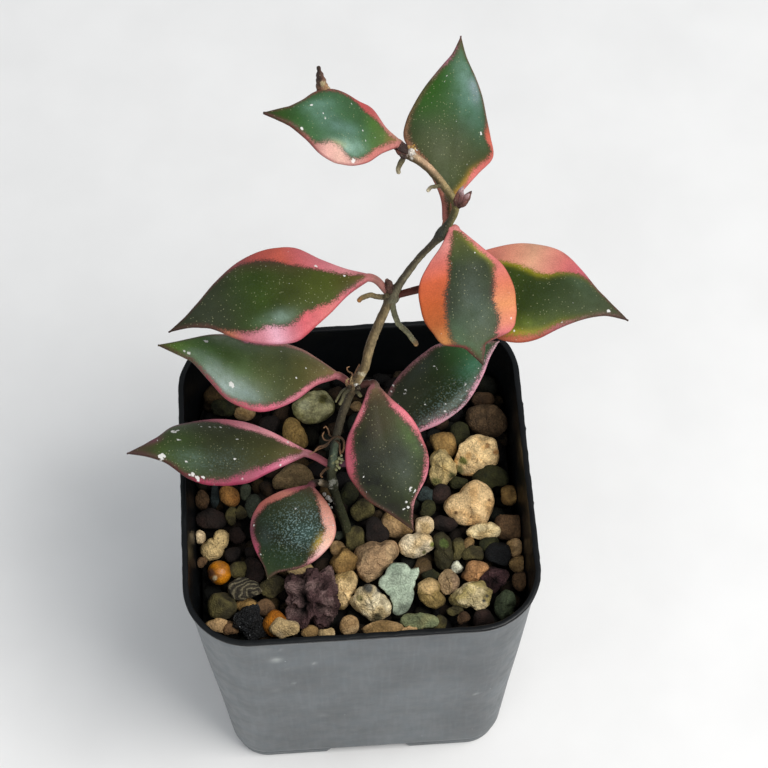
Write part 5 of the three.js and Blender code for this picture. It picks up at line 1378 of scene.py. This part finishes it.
               (0.83, 0.68, 1.8, 1, "70304c", 0.7)],
        frost=(0.55, -0.5, 0.12, 0.3), depth=1.05, stalk="a86068",
        spots=[(0.605, -0.88, 0.45), (0.64, -0.93, 0.6), (0.665, -0.88, 0.55), (0.68, -0.93, 0.3),
               (0.555, -0.7, 0.33), (0.59, -0.73, 0.22), (0.825, -0.82, 0.65), (0.81, -0.7, 0.5),
               (0.405, -0.47, 0.38), (0.5, -0.58, 0.2), (0.7, 0.12, 0.3), (0.715, 0.18, 0.3),
               (0.71, 0.55, 0.5), (0.72, 0.65, 0.5), (0.69, 0.6, 0.4), (0.565, 0.6, 0.25),
               (0.567, 0.7, 0.22), (0.515, 0.53, 0.25), (0.49, 0.53, 0.28), (0.463, 0.53, 0.35),
               (0.38, 0.08, 0.3), (0.315, 0.24, 0.22), (0.1, 0.6, 0.4), (0.13, -0.93, 0.25),
               (0.36, -0.93, 0.3), (0.37, 0.78, 0.22), (0.25, 0.94, 0.3), (0.815, 0.55, 0.25),
               (0.69, -0.6, 0.3), (0.38, -0.95, 0.2), (0.42, -0.2, 0.15)]),
    "leaf_lower_right": dict(
        joint="lower", base=(2.4, 0.4, 92.5), heading=45, rise=12, droop=13, swerve=-14, roll=-13,
        length=38.7, bow=0.2,
        left_edge=[0.9, 2.4, 3.9, 5.3, 6.6, 7.05, 7.1, 6.9, 5, 3.75, 2.4, 0],
        right_edge=[0.9, 2.6, 4, 5.2, 6.7, 7.3, 7.2, 6.15, 4.4, 3.2, 1.95, 0],
        left=[(0, 0.2), (0.3, 0.05), (0.5, 0.07), (0.7, 0.05), (1, 0.08)],
        right=[(0, 0.2), (0.3, 0.1), (0.4, 0.15), (0.46, 0.12), (0.55, 0.05), (0.61, 0.04), (0.66, 0.1),
               (0.74, 0.12), (0.8, 0.13), (0.88, 0.2), (1, 0.4)],
        left_pinks=[(0, "7a5050"), (0.5, "8a5c60"), (0.7, "a07078"), (1, "a0686c")],
        right_pinks=[(0, "b86c7c"), (0.4, "e09cac"), (0.55, "e0b4c0"), (0.7, "f0b0c0"), (0.85, "f4b4c8"),
                     (1, "f4cad4")],
        # The greens near the stalk are near black: painted shade under the leaves above.
        greens=[(0, "12120d"), (0.2, "161810"), (0.3, "282b20"), (0.4, "262c1e"), (0.55, "25301c"),
                (0.65, "24361c"), (0.72, "2a4826"), (0.8, "2f5a34"), (1, "3a4a38")],
        sheen_and_shade=[(0.78, 0.3, 3, 2.4, "50846a", 0.6), (0.6, 0.75, 9, 1, "848e84", 0.55),
               (0.42, 0.78, 3, 1.2, "8c7f80", 0.45), (0.55, -0.7, 5, 1.5, "2e3430", 0.5)],
        frost=(0.55, 0.75, 0.4, 0.5), depth=0.95, stalk="6c4454",
        spots=[(0.39, -0.5, 0.3), (0.41, -0.52, 0.28), (0.4, -0.44, 0.2), (0.575, -0.38, 0.2),
               (0.615, -0.48, 0.22), (0.617, -0.37, 0.22), (0.63, 0.3, 0.25), (0.68, 0.58, 0.35),
               (0.485, 0.75, 0.42), (0.455, 0.78, 0.3), (0.515, 0.58, 0.3), (0.39, 0.72, 0.3),
               (0.375, -0.95, 0.35), (0.345, -0.9, 0.25), (0.72, 0.05, 0.15), (0.43, 0.22, 0.15),
               (0.66, 0.75, 0.25), (0.75, 0.72, 0.2), (0.6, 0.8, 0.2), (0.8, 0.6, 0.2)]),
    "leaf_lowest": dict(
        joint="lowest", base=(-9.6, -3, 86), heading=242, rise=-2, droop=17, swerve=0, roll=-14,
        length=22.2, bow=-0.15,
        left_edge=[1, 4.85, 7.5, 9.1, 9.75, 9.75, 9, 7.45, 5.1, 3.3, 1.6, 0],
        right_edge=[1, 5.1, 7.9, 9.5, 9.7, 9.65, 9.1, 7.5, 5, 3.5, 2.05, 0],
        left=[(0, 0.5), (0.07, 0.42), (0.15, 0.4), (0.22, 0.37), (0.3, 0.31), (0.36, 0.22), (0.45, 0.2),
              (0.55, 0.17), (0.62, 0.14), (0.7, 0.06), (0.76, 0.01), (1, 0.01)],
        right=[(0, 0.6), (0.06, 0.62), (0.1, 0.52), (0.18, 0.44), (0.24, 0.35), (0.3, 0.2), (0.4, 0.14),
               (0.5, 0.1), (0.6, 0.1), (0.66, 0.16), (0.72, 0.24), (0.77, 0.2), (0.83, 0.06), (0.88, 0.01),
               (1, 0.01)],
        # Its left margin's pinks are painted lighter than their own colour: painted light where the leaves
        # above would shade it.
        left_pinks=[(0, "a06068"), (0.08, "c8806e"), (0.15, "fcac94"), (0.3, "feb8a6"), (0.45, "ffc8ac"),
                    (0.58, "ffccc0"), (0.67, "f0acac"), (0.76, "a06868"), (1, "384028")],
        right_pinks=[(0, "8a4a58"), (0.08, "b06066"), (0.15, "d48676"), (0.24, "cc7a6c"), (0.33, "b8665e"),
                     (0.5, "985860"), (0.6, "8c5260"), (0.7, "98505e"), (0.78, "b45068"), (0.86, "7a4a50"),
                     (1, "384028")],
        greens=[(0, "6a5048"), (0.08, "4c4a3c"), (0.16, "424a36"), (0.25, "34392a"), (0.4, "2a3428"),
                (0.52, "263026"), (0.6, "222519"), (0.7, "222f1c"), (0.8, "283826"), (0.9, "32402d"),
                (1, "384028")],
        yellow=(0.5, 0.09, -1, "c0a040"),
        sheen_and_shade=[(0.46, -0.4, 3.2, 3, "47605c", 0.5), (0.25, -0.1, 3, 4, "4c5448", 0.4),
               (0.62, 0.5, 2.6, 1.8, "3c4846", 0.4)],
        frost=(0.42, -0.25, 0.75, 0.6), depth=1.0, stalk="3c3028",
        spots=[(0.31, -0.7, 0.25), (0.555, 0.87, 0.3), (0.8, 0.74, 0.2), (0.27, 0.06, 0.2),
               (0.3, -0.95, 0.2)]),
}


def blade_frames(leaf, t):
    """At each place along a leaf: its direction, the way across it to the right,
    and out of its upper face. It swerves and droops evenly, and is rolled."""
    heading = np.radians(leaf["heading"] + leaf["swerve"] * t)
    pitch = np.radians(leaf["rise"] - leaf["droop"] * t)
    roll = math.radians(leaf["roll"])
    along = np.stack([np.cos(pitch) * np.cos(heading), np.cos(pitch) * np.sin(heading), np.sin(pitch)], -1)
    level = np.stack([np.sin(heading), -np.cos(heading), 0 * heading], -1)
    upright = np.cross(level, along)
    return (along, level * math.cos(roll) + upright * math.sin(roll),
            upright * math.cos(roll) - level * math.sin(roll))


def side_reach(edge, t):
    """How far one edge stands from the midrib along a leaf: a cubic between each
    two stops that meets both, with the slope (next - previous) / (the distance
    between them) at each."""
    edge = np.array(edge)
    wide, stops = (np.concatenate([row[:1], row, row[-1:]]) for row in (edge, EDGE_STOPS))
    slope = (wide[2:] - wide[:-2]) / (stops[2:] - stops[:-2])
    k = np.clip(np.searchsorted(EDGE_STOPS, t, side="right") - 1, 0, len(edge) - 2)
    gap = EDGE_STOPS[k + 1] - EDGE_STOPS[k]
    s = (t - EDGE_STOPS[k]) / gap
    r = 1 - s
    return (r * r * (1 + 2 * s) * edge[k] + s * s * (1 + 2 * r) * edge[k + 1]
            + s * r * gap * (r * slope[k] - s * slope[k + 1]))


def leaf_surface(leaf, seed):
    """A leaf and its stalk as rings round the midrib. Across a ring, v goes from
    -1 to 1 over the upper face and back under the lower one; the thickness falls
    off as a half circle and rounds at the margin, and the halves bow and ripple
    with v squared. Returns the rings with t, v, the half widths and the side."""
    steps = 96
    middles = (np.arange(steps) + 0.5) / steps
    walk = blade_frames(leaf, middles)[0] * leaf["length"] / steps
    walked = np.array(leaf["base"]) + np.concatenate([np.zeros((1, 3)), np.cumsum(walk, 0)])
    x = np.linspace(0, 1, BLADE_ROWS)
    t = x - CROWDING * np.sin(2 * np.pi * x)
    rib = np.stack([np.interp(t, np.linspace(0, 1, steps + 1), walked[:, k]) for k in range(3)], 1)
    along, across, up = blade_frames(leaf, t)
    widths = [np.maximum(side_reach(leaf[edge], t), NARROWEST) for edge in ("left_edge", "right_edge")]
    mid = MID_HALF + (EDGE_HALF - MID_HALF) * t**4

    # The stalk: a cubic curve from the joint that meets the blade in line.
    joint, base = np.array(JOINTS[leaf["joint"]]), np.array(leaf["base"])
    span = np.linalg.norm(base - joint)
    bend = PETIOLE_REACH * span
    controls = [joint, joint + unit(base - joint) * bend, base - along[0] * bend, base]
    s = np.linspace(0, 1, PETIOLE_ROWS, endpoint=False)[:, None]
    stalk = sum(math.comb(3, k) * (1 - s) ** (3 - k) * s**k * controls[k] for k in range(4))
    course = unit(np.gradient(stalk, axis=0))
    stalk_across = unit(across[0] - (course @ across[0])[:, None] * course)
    s = s[:, 0]
    t = np.concatenate([np.zeros(PETIOLE_ROWS), t])
    rib = np.concatenate([stalk, rib])
    across = np.concatenate([stalk_across, across])
    up = np.concatenate([np.cross(stalk_across, course), up])
    left, right = (np.concatenate([PETIOLE_RADIUS + (width[0] - PETIOLE_RADIUS) * s * s, width])
                   for width in widths)
    mid = np.concatenate([PETIOLE_RADIUS + (MID_HALF - PETIOLE_RADIUS) * s * s, mid])[:, None]
    on_stalk = np.concatenate([1 - s, np.zeros(BLADE_ROWS)])[:, None]

    half = np.sin(np.pi / 2 * np.linspace(-1, 1, BLADE_COLUMNS + 1))
    v = np.concatenate([half, half[-2:0:-1]])
    side = np.concatenate([np.ones(BLADE_COLUMNS + 1), -np.ones(BLADE_COLUMNS - 1)])
    width = np.where(v > 0, right[:, None], left[:, None])
    from_margin = (1 - np.abs(v)) * width
    rounding = np.sqrt(1 - (1 - np.clip(from_margin / EDGE_HALF, 0, 1)) ** 2)
    thickness = (EDGE_HALF + (mid - EDGE_HALF) * np.sqrt(1 - v * v)) * rounding
    blade = np.sin(np.pi * t)[:, None]
    lift = width * leaf["bow"] * v * v / 2 * (on_stalk == 0)
    lift = lift + RIPPLE * blade * v * v * np.sin(2 * np.pi * RIPPLES * t[:, None] + v)
    groove = -GROOVE * np.exp(-((v * width / GROOVE_WIDTH) ** 2)) * np.minimum(blade * 2, 1) * (side > 0)
    keel = -KEEL * np.exp(-((v * width / KEEL_WIDTH) ** 2)) * np.minimum(blade * 2, 1) * (side < 0)
    rise = (lift + side * thickness + groove + keel)[..., None]
    flat = rib[:, None] + across[:, None] * (width * v)[..., None]
    waves = WAVES * layered_grain(flat, WAVE_SIZE, seed, 2)
    rings = flat + up[:, None] * rise
    rings = rings + up[:, None] * (waves * np.minimum(from_margin, 1) * blade)[..., None]
    return rings, t, v, width, side, on_stalk


def leaf_marks(leaf, rings, t, v, width, side, on_stalk, seed):
    """What the leaf's finish reads: its pink and green at each point, how far in
    mm the point lies inside the flushed margin, and its lime and frost."""
    t2, v2 = np.broadcast_arrays(t[:, None], v[None])
    margins = {key: np.interp(t, *np.array(leaf[key]).T)[:, None] for key in ("left", "right")}
    share = np.where(v2 > 0, margins["right"], margins["left"])
    flush = share * width - (1 - np.abs(v2)) * width
    right_share = step(-0.15, 0.15, v2)[..., None]
    pink = (shades_along(t, leaf["right_pinks"])[:, None] * right_share
            + shades_along(t, leaf["left_pinks"])[:, None] * (1 - right_share))
    pink = pink * (1 + 0.12 * layered_grain(rings, 2.2, seed + 1))[..., None]
    edge = step(0.35, 0.0, (1 - np.abs(v2)) * width) * (on_stalk == 0)
    pink = pink * (1 - 0.3 * edge[..., None] * [0.8, 1.2, 1.1])
    green = np.repeat(shades_along(t, leaf["greens"])[:, None], len(v), 1) * FLESH * leaf["depth"]
    green = green * (1 + 0.2 * layered_grain(rings, 3.5, seed + 2))[..., None]
    # Painted sheen and painted shade: pale and dark patches are mixed into the green.
    for place, across, long, wide, code, strength in leaf["sheen_and_shade"]:
        away = np.hypot((t2 - place) * leaf["length"] / long, (v2 - across) * width / wide)
        share = strength * np.exp(-away**2) * (1 + 0.35 * layered_grain(rings, 1.1, seed + 4))
        green = green * (1 - share[..., None]) + paint(code) * share[..., None]
    # A dusky zone lies inside the flush, wide in places: place, reach, side and width.
    place, reach, hand, wide = leaf.get("dusk", (0.5, 1, 0, 1.2))
    zone = np.where((hand == 0) | (v2 * hand > 0), np.exp(-((t2 - place) / reach) ** 2), 0)
    dusk = 0.55 * step(-1.2, 0.0, flush) + 0.65 * zone * step(-wide, 0.0, flush) * (hand != 0)
    dusk = np.minimum(dusk, 0.85)[..., None]
    green = green * (1 - dusk) + paint(DUSK) * dusk
    if "yellow" in leaf:
        place, reach, hand, code = leaf["yellow"]
        glow = 0.85 * np.exp(-((flush + 0.45) / 0.8) ** 2 - ((t2 - place) / reach) ** 2)
        glow = np.where(v2 * hand >= 0, glow, 0)[..., None]
        green = green * (1 - glow) + paint(code) * glow
    stalk = np.clip(step(0, 0.4, on_stalk) + step(0.03, 0.0, t2) * 0.4, 0, 1)[..., None]
    stalk_tint = paint(leaf["stalk"]) * (1 + 0.2 * layered_grain(rings, 1.2, seed + 3))[..., None]
    pink = pink * (1 - stalk) + stalk_tint * stalk
    flush = flush * (1 - stalk[..., 0]) + 2.0 * stalk[..., 0]
    under = (side < 0)[None, :, None]
    green = np.where(under, green * 0.7 + paint(UNDERSIDE) * 0.3, green)
    lime = np.zeros(rings.shape[:2])
    for place, across, radius in leaf["spots"]:
        away = np.hypot((t2 - place) * leaf["length"], (v2 - across) * width)
        lime = np.maximum(lime, np.clip(1.4 - away / radius, 0, 1) * (side > 0))
    place, across, strength, spread = leaf.get("frost", (0.5, 0, 0.02, 0.6))
    frost = strength * np.exp(-((t2 - place) / 0.24) ** 2 - ((v2 - across) / spread) ** 2) * (side > 0)
    return dict(pink=pink, green=green, flush=flush, lime=lime, frost=frost)


leaf_finish, tree, shader = new_finish("leaf_wax", Roughness=0.42, Coat_Weight=0.04, Coat_Roughness=0.3)
shader.inputs["Specular IOR Level"].default_value = 0.1
position = add(tree, "ShaderNodeTexCoord", out="Object")
fine_edge = add(tree, "ShaderNodeTexNoise", Vector=position, Scale=3600.0, Detail=2.0)
broad_edge = add(tree, "ShaderNodeTexNoise", Vector=position, Scale=700.0, Detail=2.0)
ragged = attribute(tree, "flush")
for edge_noise, amount in ((fine_edge, 2.4), (broad_edge, 1.2)):
    ragged = arithmetic(tree, "MULTIPLY_ADD", arithmetic(tree, "SUBTRACT", edge_noise, 0.5), amount, ragged)
flushed = add(tree, "ShaderNodeMapRange", settings=[("interpolation_type", "SMOOTHSTEP")],
              Value=ragged, From_Min=-0.75, From_Max=0.65)
silver = use_group(tree, flecks, Place=position, Spacing=0.62, Radius=0.15, Share=0.55)
green = attribute(tree, "green", "Color")
green = blend(tree, arithmetic(tree, "MULTIPLY", silver, 0.36), green, paint("b4b48a"))
skin = blend(tree, flushed, green, attribute(tree, "pink", "Color"))
mealy = use_group(tree, blotches, Place=position, Size=0.4, Low=0.5, High=0.62)
skin = blend(tree, arithmetic(tree, "MULTIPLY", mealy, attribute(tree, "frost")), skin, paint("8ba6a4"))
fine = use_group(tree, blotches, Place=position, Size=0.25, Low=0.25, High=0.75)
skin = blend(tree, arithmetic(tree, "MULTIPLY", fine, 0.25), skin, paint("16180f"))
crumb = add(tree, "ShaderNodeTexNoise", Vector=position, Scale=1900.0, Detail=3.0)
crumb = arithmetic(tree, "SUBTRACT", crumb, 0.5)
crust = arithmetic(tree, "MULTIPLY_ADD", crumb, 1.4, attribute(tree, "lime"))
crust = add(tree, "ShaderNodeMapRange", Value=crust, From_Min=0.5, From_Max=0.72)
speck = use_group(tree, flecks, Place=position, Spacing=1.5, Radius=0.13, Share=0.3)
crust = arithmetic(tree, "MAXIMUM", crust, arithmetic(tree, "MULTIPLY", speck, 0.5))
skin = blend(tree, arithmetic(tree, "MULTIPLY", crust, 0.85), skin, paint("dcdad6"))
tree.links.new(skin, shader.inputs["Base Color"])
rough = add(tree, "ShaderNodeMapRange", Value=arithmetic(tree, "MAXIMUM", crust, fine),
            To_Min=0.33, To_Max=0.55)
tree.links.new(rough, shader.inputs["Roughness"])
height = arithmetic(tree, "MULTIPLY_ADD", crust, 1.5, arithmetic(tree, "ADD", silver, fine))
bump = add(tree, "ShaderNodeBump", Strength=0.22, Distance=0.00012, Height=height)
tree.links.new(bump, shader.inputs["Normal"])

for number, (name, leaf) in enumerate(LEAVES.items()):
    rings, *grid = leaf_surface(leaf, BLADE_SEED + number)
    marks = leaf_marks(leaf, rings, *grid, BLADE_SEED + 100 + number)
    add_piece(name.replace("leaf_", "blade_"), closed_skin(rings), leaf_finish, "leaf", [name],
              **{key: with_ends(values) for key, values in marks.items()})

# ------------------------------------------------------ floor and light
# Not part of the plant: a plain white floor, a large soft light from the right
# and a little behind, and even light from all round.

FLOOR_HALF = 3.0
AIM = np.array([0, 0.01, 0.08])  # the middle of the plant, in metres

floor_mesh = bpy.data.meshes.new("floor")
floor_corners = [(x * FLOOR_HALF, y * FLOOR_HALF, 0) for x, y in [(-1, -1), (1, -1), (1, 1), (-1, 1)]]
floor_mesh.from_pydata(floor_corners, [], [(0, 1, 2, 3)])
floor = bpy.data.objects.new("floor", floor_mesh)
bpy.context.scene.collection.objects.link(floor)
floor_finish, tree, shader = new_finish("floor_white", Roughness=0.7)
position = add(tree, "ShaderNodeTexCoord", out="Object")
soft = use_group(tree, blotches, Place=position, Size=30.0, Low=0.2, High=0.8)
tree.links.new(blend(tree, soft, paint("e8e7e6"), paint("eeedec")), shader.inputs["Base Color"])
floor_mesh.materials.append(floor_finish)


def soft_light(name, direction, distance, size, power, colour=(1, 1, 1)):
    """A square area light that faces the plant from a direction."""
    data = bpy.data.lights.new(name, "AREA")
    data.size, data.energy, data.color = size, power, colour
    lamp = bpy.data.objects.new(name, data)
    back = unit(np.array(direction, float))
    side = unit(np.cross([0, 0, 1], back))
    place = np.eye(4)
    place[:3, :3] = np.stack([side, np.cross(back, side), back], 1)
    place[:3, 3] = back * distance + AIM
    lamp.matrix_world = Matrix(place.tolist())
    bpy.context.scene.collection.objects.link(lamp)


soft_light("window", (0.5, -0.3, 1.0), 0.9, 0.5, 7.1, (1.0, 0.985, 0.96))
soft_light("front", (-0.4, -1.0, 0.8), 1.3, 1.0, 3.0)

world = bpy.data.worlds.new("studio")
world.use_nodes = True
world.node_tree.nodes["Background"].inputs["Color"].default_value = (0.9, 0.95, 1.0, 1)
world.node_tree.nodes["Background"].inputs["Strength"].default_value = 0.47
bpy.context.scene.world = world
bpy.context.scene.view_settings.view_transform = "Standard"
